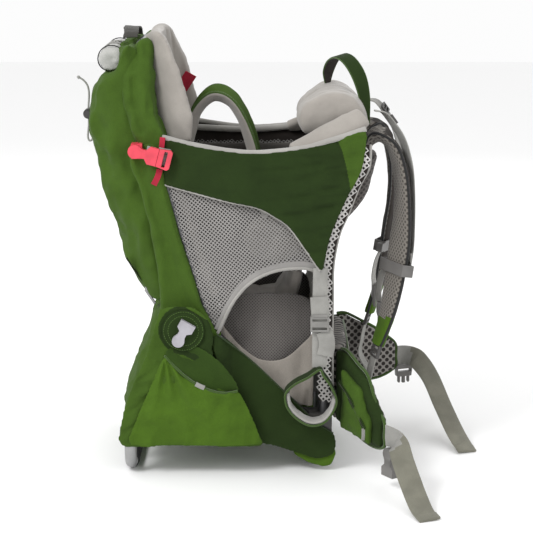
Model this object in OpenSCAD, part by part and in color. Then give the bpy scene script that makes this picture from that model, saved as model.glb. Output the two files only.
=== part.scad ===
// Framed child carrier: an aluminium frame with a fold-out kickstand, a padded
// cockpit with a hanging seat, two storage bags, a wearer's harness and a hip belt.
// The wearer stands at +X, the near (right) side is -Y, +Z is up. Millimetres.
// The origin is the middle of the front frame's foot, on the floor.

/* [Overall] */
// Height of the pack, floor to the top of the headrest
pack_h = 665; // [560:5:800]
// Depth, front frame to the back of the storage bag
pack_d = 342; // [290:2:420]
// Spacing of the front frame's uprights, centre to centre
frame_w = 236; // [196:2:290]

/* [Tubes] */
// Diameter of the front frame's tube
tube_d = 18; // [14:0.5:22]
// Diameter of the seat frame's tube
seat_tube_d = 16; // [12:0.5:20]
// Bend radius of the front frame's corners
frame_bend = 42; // [30:1:55]
// Diameter of the cockpit rails
rail_d = 10; // [8:0.5:12]

/* [Kickstand] */
// Diameter of the kickstand's tube
leg_d = 18; // [14:0.5:20]
// Bend radius of the kickstand's corners
leg_bend = 34; // [26:1:45]
// Wall of the rubber sleeve on the kickstand's foot
sleeve_wall = 2; // [1.5:0.5:4]
// Diameter of the hinge pins
pin_d = 8; // [6:0.5:10]
// Running clearance round a hinge pin
pin_gap = 0.05; // [0.03:0.01:0.1]
// Outside diameter of the kickstand's hinge eyes
eye_d = 28; // [24:1:34]

/* [Soft goods] */
// Thickness of the padded side wings
wing_t = 3.5; // [2.5:0.5:5]
// Thickness of the mesh windows
mesh_t = 2.5; // [1.5:0.5:3]
// Thickness of the headrest
headrest_t = 16; // [10:1:22]
// Thickness of the seat's padding
saddle_t = 20; // [14:1:24]
// Width of the seat between the legs
saddle_w = 140; // [110:2:160]
// Thickness of the child's back pad
back_pad_t = 18; // [12:1:24]
// Thickness of the wearer's back panel
panel_t = 4; // [3:0.5:6]
// Thickness of the lumbar pad
lumbar_t = 22; // [16:1:28]

/* [Harness] */
// Width of a shoulder strap
strap_w = 62; // [50:1:70]
// Thickness of a shoulder strap
strap_t = 13; // [9:1:16]
// Thickness of the hip wings
hip_t = 14; // [10:1:18]
// Height of the hip wings at the root
hip_h = 112; // [90:2:120]
// Length of the hip wings
hip_l = 112; // [90:2:125]
// Width of the wide hip webbing
hip_web = 32; // [25:1:40]
// Width of the narrow webbing
thin_web = 22; // [18:1:25]
// Thickness of all webbing
web_t = 2; // [1.5:0.5:2.5]

/* [Cord and lock] */
// Diameter of the drawcord
cord_d = 3; // [2.5:0.5:3.5]
// Outside diameter of the cord lock's barrel
lock_d = 15; // [13:0.5:18]

/* [Hidden] */
$fn = 48;

green = "#3f5f22";
dark_green = "#2c3f1c";
bright_green = "#4f7a25";
warm_grey = "#9a918c";
cool_grey = "#8f9290";
dark_grey = "#45433f";
red = "#c92b45";
metal = "#a8aaac";

gap = 0.5;          // clearance between soft neighbours
fit = 0.3;          // clearance of a piece that lies on its seat

// A point of the side view: x and z of the first design, carried to the sizes above.
nominal_h = 665;
nominal_d = 342;
function sx(x) = x * pack_d / nominal_d;
function sz(z) = z * pack_h / nominal_h;
function side(p) = [for (q = p) [sx(q[0]), sz(q[1])]];
function side3(p) = [for (q = p) [sx(q[0]), q[1], sz(q[2])]];

// Layers outwards from the middle, on one side.
frame_y = frame_w / 2;
seat_y = frame_y + 10;
clamp_out = seat_y + seat_tube_d / 2 + 1.5;
mesh_y = clamp_out;
band_y = clamp_out + fit;
band_t = 2.5;
leg_in = band_y + band_t + 0.9;
leg_y = leg_in + leg_d / 2;
patch_y = leg_in + leg_d + 3.5;
spread = frame_y - 118;     // how much wider than the first design the pack is

// ---------- vectors, sweeps and slabs ----------
function unit(v) = v / norm(v);

module both() {
    children();
    mirror([0, 1, 0]) children();
}

// The width, thickness and length directions of a strap that runs along u.
function frame_of(u, across) = let (t = unit(cross(u, across)), w = unit(cross(t, u))) [w, t, u];

// Sets its children in the frame of three axes at a point.
module set_in(x, y, z, at) {
    multmatrix([for (i = [0:2]) [x[i], y[i], z[i], at[i]]]) children();
}

// An outline of the side view, pushed out from y0 to y1.
module slab(outline, y0, y1) {
    translate([0, y1, 0]) rotate([90, 0, 0]) linear_extrude(y1 - y0) polygon(outline);
}

// A plan outline, pulled up over the whole height.
module plan(outline, z0 = -50, z1 = 900) {
    translate([0, 0, z0]) linear_extrude(z1 - z0) polygon(outline);
}

// A closed sweep of a section along points; sides gives the section's width direction.
module sweep(points, sides, section, widths = []) {
    n = len(points);
    m = len(section);
    function along(i) = unit(points[min(i + 1, n - 1)] - points[max(i - 1, 0)]);
    function across(i) = is_list(sides[0]) ? sides[i] : sides;
    function thick(i) = unit(cross(along(i), across(i)));
    function wide(i) = unit(cross(thick(i), along(i)));
    function grow(i) = len(widths) ? widths[i] : 1;
    rings = [for (i = [0:n - 1]) for (q = section)
        points[i] + wide(i) * q[0] * grow(i) + thick(i) * q[1]];
    walls = [for (i = [0:n - 2]) for (j = [0:m - 1]) let (k = (j + 1) % m)
        each [[i * m + j, (i + 1) * m + j, (i + 1) * m + k],
              [i * m + j, (i + 1) * m + k, i * m + k]]];
    caps = [for (j = [1:m - 2]) each [[0, j, j + 1],
        [(n - 1) * m, (n - 1) * m + j + 1, (n - 1) * m + j]]];
    polyhedron(rings, concat(walls, caps));
}

function flat(w, t) = [[-w / 2, -t / 2], [w / 2, -t / 2], [w / 2, t / 2], [-w / 2, t / 2]];
function pillow(w, t) = [[-w / 2, 0], [-w * 0.42, -t / 2], [w * 0.42, -t / 2],
    [w / 2, 0], [w * 0.42, t / 2], [-w * 0.42, t / 2]];
function ring(r, n) = [for (i = [0:n - 1]) [r * cos(360 * i / n), r * sin(360 * i / n)]];

// A round bar through corner points, each with its own bend radius. The bends are a
// hair thicker than the straights, which run a little way into them.
module bent_bar(points, bends, r, closed = false) {
    n = len(points);
    swell = 0.15;
    function at(i) = points[(i + n) % n];
    function dir(i) = unit(at(i + 1) - at(i));
    function is_end(i) = !closed && (i == 0 || i == n - 1);
    function turn(i) = acos(dir(i - 1) * dir(i));
    function cut(i) = is_end(i) ? 0 : bends[i % n] * tan(turn(i) / 2);
    function lap(i) = is_end(i) ? 0 : 1;
    for (i = [0:n - (closed ? 1 : 2)]) {
        u = dir(i);
        from = at(i) + u * (cut(i) - lap(i));
        long = norm(at(i + 1) - at(i)) - cut(i) - cut(i + 1) + lap(i) + lap(i + 1);
        translate(from) rotate([0, acos(u[2]), atan2(u[1], u[0])]) cylinder(h = long, r = r);
    }
    for (i = [closed ? 0 : 1:n - (closed ? 1 : 2)]) {
        u = dir(i - 1);
        inward = unit(dir(i) - u * (u * dir(i)));
        out = -inward;
        up = cross(out, u);
        c = at(i) - u * cut(i) + inward * bends[i];
        multmatrix([[out[0], u[0], up[0], c[0]], [out[1], u[1], up[1], c[1]],
                    [out[2], u[2], up[2], c[2]], [0, 0, 0, 1]])
            rotate_extrude(angle = turn(i)) translate([bends[i], 0]) circle(r + swell);
    }
}

// ---------- frame ----------
knee_z = sz(340);
top_x = sx(48);
top_z = sz(520);
bar_z = tube_d / 2 + 5;
front_path = [[0, -frame_y, bar_z], [0, -frame_y, knee_z], [top_x, -frame_y, top_z],
    [top_x, frame_y, top_z], [0, frame_y, knee_z], [0, frame_y, bar_z]];
front_bends = [frame_bend, 90, frame_bend, frame_bend, 90, frame_bend];

function lean_x(z) = top_x * (z - knee_z) / (top_z - knee_z);

// How far the leaning part of the frame lies in front of the first design's, at a
// height of the first design; what hangs on the wearer's side moves with it.
function lean_shift(z) = let (up = max(z, 340)) lean_x(sz(up)) - 48 * (up - 340) / 180;

module front_frame() {
    color(metal) bent_bar(front_path, front_bends, tube_d / 2, true);
}

clamp_x = -16;
clamp_back = -40;
clamp_h = 34;
clamp_z = max(sz(74), bar_z + frame_bend + clamp_h / 2 + 1);
seat_knee = [sx(-165), sz(212)];
seat_hip = [sx(-245), sz(475)];
seat_neck = [sx(-271), sz(600)];
seat_top = [sx(-273), sz(640)];
neck_y = frame_y - 23;
seat_path = [[clamp_x, -seat_y, clamp_z], [seat_knee[0], -seat_y, seat_knee[1]],
    [seat_hip[0], -seat_y, seat_hip[1]], [seat_neck[0], -neck_y, seat_neck[1]],
    [seat_top[0], -neck_y + 22, seat_top[1]], [seat_top[0], neck_y - 22, seat_top[1]],
    [seat_neck[0], neck_y, seat_neck[1]], [seat_hip[0], seat_y, seat_hip[1]],
    [seat_knee[0], seat_y, seat_knee[1]], [clamp_x, seat_y, clamp_z]];
seat_bends = [0, 60, 120, 30, 22, 22, 30, 120, 60, 0];

module seat_straight(r) {
    rise = [seat_hip[0] - seat_knee[0], 0, seat_hip[1] - seat_knee[1]];
    translate([seat_knee[0], -seat_y, seat_knee[1]]) rotate([0, acos(unit(rise)[2]), 180])
        cylinder(h = norm(rise), r = r);
}

module seat_frame() {
    color(metal) bent_bar(seat_path, seat_bends, seat_tube_d / 2);
}

// The rails run just inside the side wings, from the front uprights to the seat frame.
rail_z = sz(497);
rail_x = seat_hip[0] + (seat_neck[0] - seat_hip[0]) * (rail_z - seat_hip[1])
    / (seat_neck[1] - seat_hip[1]) + seat_tube_d / 2 + 2.1;
rail_path = [[rail_x, -124 - spread, rail_z], [sx(-212), -138 - spread, sz(493)],
    [sx(-111), -143 - spread, sz(487)], [sx(-20), -141 - spread, sz(496)],
    [sx(20), -137 - spread, sz(502)], [sx(43), -frame_y - tube_d / 2 - 1.2, sz(506)]];
rail_bends = [0, 50, 400, 300, 60, 0];

module cockpit_rails() {
    color(metal) both() bent_bar(rail_path, rail_bends, rail_d / 2);
}

// Blocks that hold the seat frame's lower ends on the front uprights.
clamp_in = frame_y - tube_d / 2 - 9;
module frame_clamps() {
    lean = atan2(seat_knee[0] - clamp_x, seat_knee[1] - clamp_z);
    color(dark_grey) both() difference() {
        translate([clamp_back, -clamp_out, clamp_z - clamp_h / 2])
            cube([tube_d / 2 + 3 - clamp_back, clamp_out - clamp_in, clamp_h]);
        translate([0, -frame_y, clamp_z - clamp_h])
            cylinder(h = 2 * clamp_h, r = tube_d / 2 + pin_gap);
        translate([clamp_x, -seat_y, clamp_z]) rotate([0, lean, 0])
            cylinder(h = 60, r = seat_tube_d / 2 + pin_gap);
    }
}

hinge = [sx(-210), sz(228)];
bracket_in = seat_y - seat_tube_d / 2 - 1;
bracket_out = seat_y + seat_tube_d / 2 + 1;
module hinge_brackets() {
    tube_at = seat_knee[0] + (hinge[1] + 8 - seat_knee[1])
        * (seat_hip[0] - seat_knee[0]) / (seat_hip[1] - seat_knee[1]);
    arm = tube_at + seat_tube_d / 2 + 5 - hinge[0];
    color(dark_grey) both() difference() {
        union() {
            translate([hinge[0], -bracket_in, hinge[1]]) rotate([90, 0, 0])
                cylinder(h = leg_in - 0.9 - bracket_in, d = eye_d - 4);
            translate([hinge[0], -bracket_out, hinge[1]])
                cube([arm, bracket_out - bracket_in, 20]);
        }
        translate([hinge[0], -bracket_in + 1, hinge[1]]) rotate([90, 0, 0])
            cylinder(h = 60, r = pin_d / 2);
        seat_straight(seat_tube_d / 2 + fit);
    }
}

module hinge_pins() {
    head = 2.5;
    long = leg_in + leg_d + 1 - bracket_in;
    color(metal) both() translate([hinge[0], -bracket_in, hinge[1]]) rotate([90, 0, 0])
        union() {
            cylinder(h = long, r = pin_d / 2 - pin_gap);
            translate([0, 0, long]) cylinder(h = head, r = pin_d / 2 + 4);
            translate([0, 0, -head]) cylinder(h = head, r = pin_d / 2 + 3);
        }
}

module base_guard() {
    half = frame_y - frame_bend - 1;
    w = tube_d + 8;
    color(dark_green) difference() {
        translate([0, half, 0]) rotate([90, 0, 0]) linear_extrude(2 * half)
            polygon([[-w / 2 + 3, 0], [w / 2 - 3, 0], [w / 2, 3], [w / 2, 20],
                     [w / 2 - 5, 27], [-w / 2 + 5, 27], [-w / 2, 20], [-w / 2, 3]]);
        translate([0, -half - 1, bar_z]) rotate([-90, 0, 0])
            cylinder(h = 2 * half + 2, r = tube_d / 2 + fit);
    }
}

// ---------- kickstand ----------
sleeve_r = leg_d / 2 + sleeve_wall;
leg_foot = [sx(-293), sleeve_r];
leg_knee = [sx(-290), sz(96)];
leg_path = [[hinge[0], -leg_y, hinge[1]], [leg_knee[0], -leg_y, leg_knee[1]],
    [leg_foot[0], -leg_y, leg_foot[1]], [leg_foot[0], leg_y, leg_foot[1]],
    [leg_knee[0], leg_y, leg_knee[1]], [hinge[0], leg_y, hinge[1]]];
leg_bends = [0, 70, leg_bend, leg_bend, 70, 0];
eye_reach = eye_d / 2 - 3;
leg_dir = unit(leg_path[1] - leg_path[0]);
leg_cut = [for (i = [0:5]) leg_path[i] + leg_dir * (i == 0 || i == 5 ? eye_reach : 0)];

eye_lip = 0.4;      // how far the hinge eye stands proud of the tube on each side
module kickstand_tube() {
    color(cool_grey) difference() {
        union() {
            difference() {
                bent_bar(leg_cut, leg_bends, leg_d / 2);
                both() translate([hinge[0], -leg_in + 1, hinge[1]]) rotate([90, 0, 0])
                    cylinder(h = leg_d + 2, r = eye_d / 2 - 1);
            }
            both() translate([hinge[0], -leg_in + eye_lip, hinge[1]]) rotate([90, 0, 0])
                cylinder(h = leg_d + 2 * eye_lip, d = eye_d);
        }
        both() translate([hinge[0], -leg_in + 1, hinge[1]]) rotate([90, 0, 0])
            cylinder(h = leg_d + 2, r = pin_d / 2 + pin_gap);
    }
}

module kickstand_foot() {
    half = leg_y - leg_bend - 1;
    color(dark_grey) translate([leg_foot[0], -half, leg_foot[1]]) rotate([-90, 0, 0])
        linear_extrude(2 * half) difference() {
            circle(sleeve_r);
            circle(leg_d / 2 + pin_gap);
        }
}

// ---------- storage bags ----------
bag_half = seat_y + 2;
bag_front = seat_tube_d / 2 + gap;
function behind(p, q) = let (u = unit(q - p)) [-abs(u[1]), -abs(u[0])] * bag_front;
rear_outline = concat(
    [seat_knee + unit(seat_hip - seat_knee) * sz(53) + behind(seat_knee, seat_hip),
     seat_hip + behind(seat_knee, seat_hip), seat_neck + behind(seat_hip, seat_neck),
     seat_top + [-bag_front - 1.2, sz(655) - seat_top[1]]],
    side([[-291, 655], [-298, 640], [-298, 603], [-318, 601], [-336, 578], [-341, 545], [-342, 515],
    [-330, 482], [-324, 447], [-312, 400], [-306, 383], [-292, 322], [-252, 262]]));

module rear_bag() {
    color(green) slab(rear_outline, -bag_half, bag_half);
}

bag_nose = min(sx(-44), clamp_back - 4);
lower_outline = concat(side([[-182, 256], [-174, 200], [-147, 130], [-112, 104], [-62, 96]]),
    [[bag_nose, sz(92)], [bag_nose, sz(52)]], side([[-305, 52], [-303, 86], [-288, 134], [-264, 189], [-246, 256]]));
nose_outline = side([[-50, 93], [-19, 84], [-19, 36], [-34, 30], [-70, 52.5]]);
lower_half = bracket_in - 4;

module lower_bag() {
    color(green) union() {
        slab(lower_outline, -lower_half, lower_half);
        slab(nose_outline, -clamp_in + gap, clamp_in - gap);
    }
}

module side_pockets() {
    outline = side([[-238, 190], [-209, 196], [-179, 187], [-142, 161], [-112, 117],
        [-96, 62], [-97, 54], [-294, 54], [-286, 100]]);
    color(bright_green) both()
        slab(outline, -leg_in + 2, -lower_half - fit);
}

module side_bands() {
    outline = side([[-150, 216], [-112, 176], [-55, 120], [-14, 78], [14, 60], [14, 12],
        [-14, 12], [-38, 28], [-60, 60], [-146, 178], [-157, 207]]);
    color(dark_green) both() slab(outline, -band_y - band_t, -band_y);
}

// A round stiff patch over each hinge, and the side flap that is sewn to it. The
// kickstand's leg hangs behind the flap and comes out at its lower edge.
patch_r = 31;
patch_t = 3;
flap_t = 2.5;
module hinge_patches() {
    outline = concat([hinge + [-38, 24], hinge + [-22, 34], hinge + [10, 34], hinge + [32, 18],
        hinge + [38, -6]], side([[-180, 200], [-160, 165], [-138, 120], [-124, 95],
        [-110, 70], [-98, 47], [-303, 47], [-304, 86], [-290, 134], [-266, 189]]));
    color(dark_green) both() {
        translate([hinge[0], -patch_y, hinge[1]])
            rotate([90, 0, 0]) cylinder(h = patch_t, r = patch_r);
        slab(outline, -patch_y - flap_t, -patch_y);
    }
}

// ---------- buckles ----------
// A side-release socket: a round tail, a waist and a wide mouth towards +x.
module socket(s = 1, t = 9) {
    difference() {
        linear_extrude(t, center = true) union() {
            translate([10 * s, 0]) circle(r = 10 * s);
            polygon([[12 * s, -9.6 * s], [20 * s, -6.5 * s], [26 * s, -6.5 * s],
                [31 * s, -13 * s], [44 * s, -13 * s], [44 * s, 13 * s],
                [31 * s, 13 * s], [26 * s, 6.5 * s], [20 * s, 6.5 * s], [12 * s, 9.6 * s]]);
        }
        translate([14 * s, -5 * s, -t / 2 + 2]) cube([20 * s, 10 * s, t - 4]);
        translate([31.5 * s, -11 * s, -t / 2 + 2]) cube([20 * s, 22 * s, t - 4]);
    }
}

// The plug that fits it: two prongs, a tongue and a base with a slot for webbing.
module plug(s = 1, t = 9, clear = 0.4) {
    reach = 44 * s + clear;
    thin = t - 4 - 2 * clear;
    translate([reach, 0, 0]) difference() {
        union() {
            linear_extrude(t, center = true)
                polygon([[0, -13 * s], [17 * s, -15 * s], [20 * s, -12 * s],
                    [20 * s, 12 * s], [17 * s, 15 * s], [0, 13 * s]]);
            linear_extrude(thin, center = true) {
                translate([-12 * s, -2.5 * s]) square([14 * s, 5 * s]);
                for (m = [-1, 1]) polygon([[1, m * 10.4 * s], [-10 * s, m * 10.4 * s],
                    [-12 * s, m * 8 * s], [-9 * s, m * 6.4 * s], [1, m * 6.4 * s]]);
            }
        }
        translate([8 * s, -11.5 * s, -t]) cube([5 * s, 23 * s, 2 * t]);
    }
}

// Local +x is the buckle's length, local z its thickness, which points out of the pack.
module on_side(at, tilt) {
    translate(at) rotate([90, 0, 0]) rotate([0, 0, tilt]) children();
}

module patch_buckles() {
    color("#c4c2c8") both()
        on_side([hinge[0] - 12, -patch_y - patch_t - 4.5 - fit, hinge[1] - 22], 60) socket(0.92);
}

buckle_t = 9;
buckle_y = 145 + spread + wing_t + buckle_t / 2 + 2;
buckle_at = [sx(-288), -buckle_y, sz(496)];
buckle_tilt = -15;

module buckle_sockets() {
    on_side(buckle_at, buckle_tilt) socket();
    // the sewn tab that holds the socket on the storage bag
    translate([sx(-284), -buckle_y + buckle_t / 2 + fit, sz(482)])
        cube([16, buckle_y - buckle_t / 2 - bag_half - 2 * fit, 22]);
}

module buckle_socket_right() { color(red) buckle_sockets(); }
module buckle_socket_left() { color(red) mirror([0, 1, 0]) buckle_sockets(); }

module buckle_plug_right() { color(red) on_side(buckle_at, buckle_tilt) plug(); }
module buckle_plug_left() {
    color(red) mirror([0, 1, 0]) on_side(buckle_at, buckle_tilt) plug();
}

// ---------- cockpit ----------
module mesh_windows() {
    outline = side([[-236, 466], [-229, 435], [-207, 352], [-179, 261], [-163, 226],
        [-158, 219], [-138, 264], [-111, 295], [-74, 313], [-30, 317], [-4, 308],
        [-2, 340], [10, 395], [22, 440], [24, 466]]);
    color(cool_grey) both() slab(outline, -mesh_y - mesh_t, -mesh_y);
}

wing_in = [[-244, -140], [-215, -145], [-111, -150], [-20, -149], [30, -143], [66, -134]];
function shifted(p, out) = [for (q = p) [sx(q[0]), q[1] - spread - out]];
function reversed(p) = [for (i = [len(p) - 1:-1:0]) p[i]];

module side_wings() {
    outline = side([[-239, 512], [-184, 500], [-111, 491], [-38, 497], [5, 508],
        [58, 524], [62, 505], [59, 432], [38, 356], [4, 292], [-8, 292], [-52, 383],
        [-89, 409], [-126, 413], [-184, 431], [-239, 443]]);
    intersection() {
        slab(outline, -200 - spread, 0);
        plan(concat(shifted(wing_in, 0), reversed(shifted(wing_in, wing_t))));
    }
}

module side_wing_right() { color(dark_green) side_wings(); }
module side_wing_left() { color(dark_green) mirror([0, 1, 0]) side_wings(); }

pad_rest = seat_tube_d / 2 + fit;
seat_u = unit(seat_hip - seat_knee);
seat_n = [seat_u[1], -seat_u[0]];
pad_low = seat_knee + seat_u * sz(54) + seat_n * pad_rest;
module seat_back() {
    high = seat_hip - seat_u * 2 + seat_n * pad_rest;
    color(warm_grey) slab([pad_low, high, high + seat_n * back_pad_t,
        pad_low + seat_n * back_pad_t], -seat_y - 6, seat_y + 6);
}

module headrest() {
    back = seat_top[0] + seat_tube_d / 2 + fit;
    outer = [[sx(-186), -frame_y + 6], [sx(-226), -frame_y + 7], [sx(-250), -frame_y + 24],
        [back + 1, -frame_y + 50], [back, 0]];
    inner = [[outer[0][0], outer[0][1] + headrest_t * 0.75],
        [outer[1][0] + headrest_t * 0.35, outer[1][1] + headrest_t * 0.75],
        [outer[2][0] + headrest_t * 0.75, outer[2][1] + headrest_t * 0.55],
        [outer[3][0] + headrest_t, outer[3][1] + headrest_t * 0.3],
        [outer[4][0] + headrest_t, 0]];
    half = concat(outer, reversed(inner));
    outline = side([[-235, 500], [-250, 504], [-262, 592], [-265, 655], [-256, 665],
        [-243, 665], [-232, 655], [-211, 612], [-200, 567], [-192, 539], [-196, 500]]);
    color(warm_grey) intersection() {
        slab(outline, -frame_y, frame_y);
        union() both() plan(half);
    }
}

module drool_pad() {
    outline = side([[-32, 508], [-36, 530], [-34, 545], [-20, 558], [3, 571], [24, 572],
        [42, 562], [55, 543], [60, 522], [59, 512], [52, 506]]);
    half = frame_y - frame_bend - 1;
    color(warm_grey) difference() {
        slab(outline, -half, half);
        translate([top_x, -half - 1, top_z]) rotate([-90, 0, 0])
            cylinder(h = 2 * half + 2, r = tube_d / 2 + fit);
    }
}

wall_in = -tube_d / 2 - 5;
module front_wall() {
    t = 4;
    top = lean_x(sz(497)) - 1;
    outline = [[wall_in + t, sz(285)], [wall_in + t, knee_z], [top + wall_in + t, sz(497)],
        [top + wall_in, sz(497)], [wall_in, knee_z], [wall_in, sz(285)]];
    color(dark_grey) slab(outline, -frame_y - 6, frame_y + 6);
}

// ---------- wearer's side ----------
panel_x = tube_d / 2 + 1;
module back_panel() {
    top = lean_x(sz(492));
    low = max(sz(92), clamp_z + clamp_h / 2 + gap);
    outline = [[panel_x, low], [panel_x, knee_z], [top + panel_x, sz(492)],
        [top + panel_x + panel_t, sz(492)], [panel_x + panel_t, knee_z],
        [panel_x + panel_t, low]];
    color(cool_grey) slab(outline, -frame_y - 9, frame_y + 9);
}

lumbar_x = panel_x + panel_t + fit;
hip_root = [lumbar_x + 9, frame_y - 8];
root_r = hip_t / 2 + 0.3;
module lumbar_pad() {
    half = hip_root[1] - root_r - gap;
    color(warm_grey) plan([[lumbar_x, -half], [lumbar_x + lumbar_t * 0.6, -half],
        [lumbar_x + lumbar_t, -half + 25], [lumbar_x + lumbar_t, half - 25],
        [lumbar_x + lumbar_t * 0.6, half], [lumbar_x, half]], sz(72), sz(190));
}

roll_r = 18;
module sunshade_roll() {
    color("#c9c9c4") translate([sx(-298) - roll_r - fit, 92, sz(603) + roll_r + fit])
        rotate([90, 0, 0]) cylinder(h = 184, r = roll_r);
}

module rear_handle() {
    arch = [[-46, 0.7], [-43, 8], [-24, 13], [0, 14.5], [24, 13], [43, 8], [46, 0.7]];
    color(dark_grey) sweep([for (q = arch) [seat_top[0] - bag_front - 9, q[0], sz(655) + q[1]]],
        [1, 0, 0], flat(14, 2.5));
}

// The handle's two ends lie on the line that it tips about, and narrow to it.
handle_a = [sx(8), 42, sz(572) + 1.6];
handle_b = [sx(60) + 5, -42, sz(520)];
module front_handle() {
    points = [handle_a, [sx(9), 39, sz(592)], [sx(16), 27, sz(610)], [sx(27), 9, sz(618)],
        [sx(40), -9, sz(611)], [sx(53), -24, sz(590)], [sx(61), -35, sz(560)], handle_b];
    ways = [for (i = [0:7]) unit([0.75, 0.35 + 0.02 * i, 0.1 + 0.03 * i])];
    color(bright_green) sweep(points, ways, flat(thin_web, 3), [0.35, 0.8, 1, 1, 1, 1, 0.8, 0.35]);
}

// ---------- child's seat and harness ----------
module seat_saddle() {
    under = side([[-149, 300], [-145, 255], [-134, 232], [-100, 222], [-65, 231],
        [-42, 258], [-32, 298]]);
    over = side([[-149, 300], [-141, 262], [-128, 246], [-100, 236], [-72, 244],
        [-54, 266], [-46, 298]]);
    lift = saddle_t - 14;
    top = [for (i = [0:6]) over[i] + (i == 0 ? [12, 6] : i == 6 ? [-2, 6] : [0, lift])];
    color(warm_grey) slab(concat(under, reversed(top)), -saddle_w / 2, saddle_w / 2);
}

module seat_sling() {
    skirt = side([[-137, 231], [-145, 196], [-129, 141], [-94, 119], [-54, 139],
        [-38, 187], [-45, 252], [-65, 230.2], [-100, 221.2], [-134, 231.2]]);
    y = saddle_w / 2 - 8;
    face = pad_low + seat_n * (back_pad_t + gap);
    rear = sx(-149) - gap;
    front = wall_in - gap;
    color(cool_grey) {
        both() slab(skirt, -y - 2, -y);
        // the straps that hang the seat from the back pad and from the front wall
        slab([face + seat_u * 92, face + seat_u * 36, [rear - 2, sz(302)], [rear - 2, sz(288)],
            [rear, sz(288)], [rear, sz(304)], face + seat_u * 37 + seat_n * 2,
            face + seat_u * 92 + seat_n * 2], -15, 15);
        slab([[sx(-46), sz(303.8)], [sx(-33), sz(298.9)], [front, sz(330)], [front, sz(365)],
            [front - 2, sz(365)], [front - 2, sz(331)]], -15, 15);
    }
}

strap_root = pad_low + seat_u * sz(190) + seat_n * (back_pad_t + 3.5 + gap);
module child_strap() {
    points = concat([[strap_root[0], -38, strap_root[1]],
        [seat_hip[0] + 40, -40, seat_hip[1] + 25]], side3([[-193, -42, 538], [-170, -44, 561], [-145, -45, 556], [-125, -46, 530],
        [-110, -47, 488], [-99, -45, 440], [-92, -40, 402], [-88, -32, 378],
        [-86, -25.4, 368]]));
    sweep(points, [0.1, -1, 0], pillow(30, 7),
        [1, 1, 1, 1, 1, 1, 1, 0.9, 0.75, 0.62, 0.6]);
}
module child_strap_right() { color(bright_green) child_strap(); }
module child_strap_left() { color(bright_green) mirror([0, 1, 0]) child_strap(); }

module chest_buckle() {
    color(dark_grey) translate([sx(-86) - 5, -17, sz(366) - 13]) cube([10, 34, 26]);
}

// ---------- wearer's harness ----------
yoke_x = panel_x + panel_t + fit;
module harness_yoke() {
    function at_z(z) = lean_x(z) + yoke_x;
    z0 = sz(372);
    z1 = sz(470);
    color(dark_grey) slab([[at_z(z0), z0], [at_z(z1), z1], [at_z(z1) + 9, z1 + 2],
        [at_z(z0) + 10, z0 + 6]], -70, 70);
}

strap_line = [[58.5, -40, 474.4], [64.5, -41, 488], [74, -52, 499], [88, -66, 501],
    [103, -77, 486], [114, -86, 452], [117, -92, 400], [113, -97, 340], [104, -101, 280],
    [94, -103, 232], [82, -105, 192]];
strap_ways = [[0.1, -1, 0], [0.1, -1, 0], [0.2, -1, 0], [0.35, -1, 0], [0.45, -1, 0],
    [0.5, -1, 0], [0.5, -1, 0], [0.45, -1, 0], [0.4, -1, 0], [0.35, -1, 0], [0.3, -1, 0]];
strap_grow = [0.75, 0.9, 1, 1, 1, 1, 1, 0.95, 0.85, 0.68, 0.42];
strap_out = max(0, spread) * 0.5;

function worn(line) = [for (q = line)
    [q[0] + lean_shift(q[2]) + panel_x + panel_t - 14, q[1] - strap_out, sz(q[2])]];
strap_points = worn(strap_line);
module shoulder_strap() {
    sweep(strap_points, strap_ways, pillow(strap_w, strap_t), strap_grow);
}
module shoulder_strap_right() { color(warm_grey) shoulder_strap(); }
module shoulder_strap_left() { color(warm_grey) mirror([0, 1, 0]) shoulder_strap(); }

lifter_line = [[74, -77, 544], [87, -77, 541], [99, -78, 528], [115, -85, 503],
    [124.5, -90, 472], [128.5, -95, 442], [130, -99, 396], [129, -101, 345], [124.5, -103, 312]];
lifter_way = [0.45, -1, 0];
lifter_points = worn(lifter_line);
module load_lifter() {
    sweep(lifter_points, lifter_way, flat(thin_web, web_t));
}
module load_lifter_right() { color(cool_grey) load_lifter(); }
module load_lifter_left() { color(cool_grey) mirror([0, 1, 0]) load_lifter(); }

// A ladder lock: a plate with two slots.
module ladder_lock(w, l = 20, t = 5) {
    bar = 3;
    translate([-l / 2, -w / 2 - bar, -t / 2]) difference() {
        cube([l, w + 2 * bar, t]);
        translate([bar, bar, -1]) cube([4, w, t + 2]);
        translate([l - bar - 4, bar, -1]) cube([4, w, t + 2]);
    }
}

// Each lower lock lies in line between the shoulder strap's end and its webbing.
lock_l = 20;
strap_end = strap_points[10];
end_dir = unit(strap_points[10] - strap_points[9]);
end_frame = frame_of(end_dir, strap_ways[10]);
lift_frame = frame_of(unit(lifter_points[3] - lifter_points[1]), lifter_way);
lift_lock = lifter_points[2] - lift_frame[1] * (web_t / 2 + 1.5 + 0.6);
module harness_locks() {
    color(dark_grey) both() {
        set_in(lift_frame[2], lift_frame[0], lift_frame[1], lift_lock) ladder_lock(14, 16, 3);
        set_in(end_frame[2], end_frame[0], end_frame[1], strap_end + end_dir * (lock_l / 2 + fit))
            ladder_lock(thin_web, lock_l, 5);
    }
}

adjuster_line = [[-6, 4, -26], [-9, 9, -48], [2, 15, -70], [8, 19, -86]];
adjuster_from = strap_end + end_dir * (lock_l + 2 * fit);
module adjuster_webbing() {
    points = concat([adjuster_from, adjuster_from + end_dir * 8],
        [for (q = adjuster_line) adjuster_from + q]);
    sweep(points, strap_ways[10], flat(thin_web, web_t));
}
module adjuster_webbing_right() { color(cool_grey) adjuster_webbing(); }
module adjuster_webbing_left() { color(cool_grey) mirror([0, 1, 0]) adjuster_webbing(); }

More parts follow.
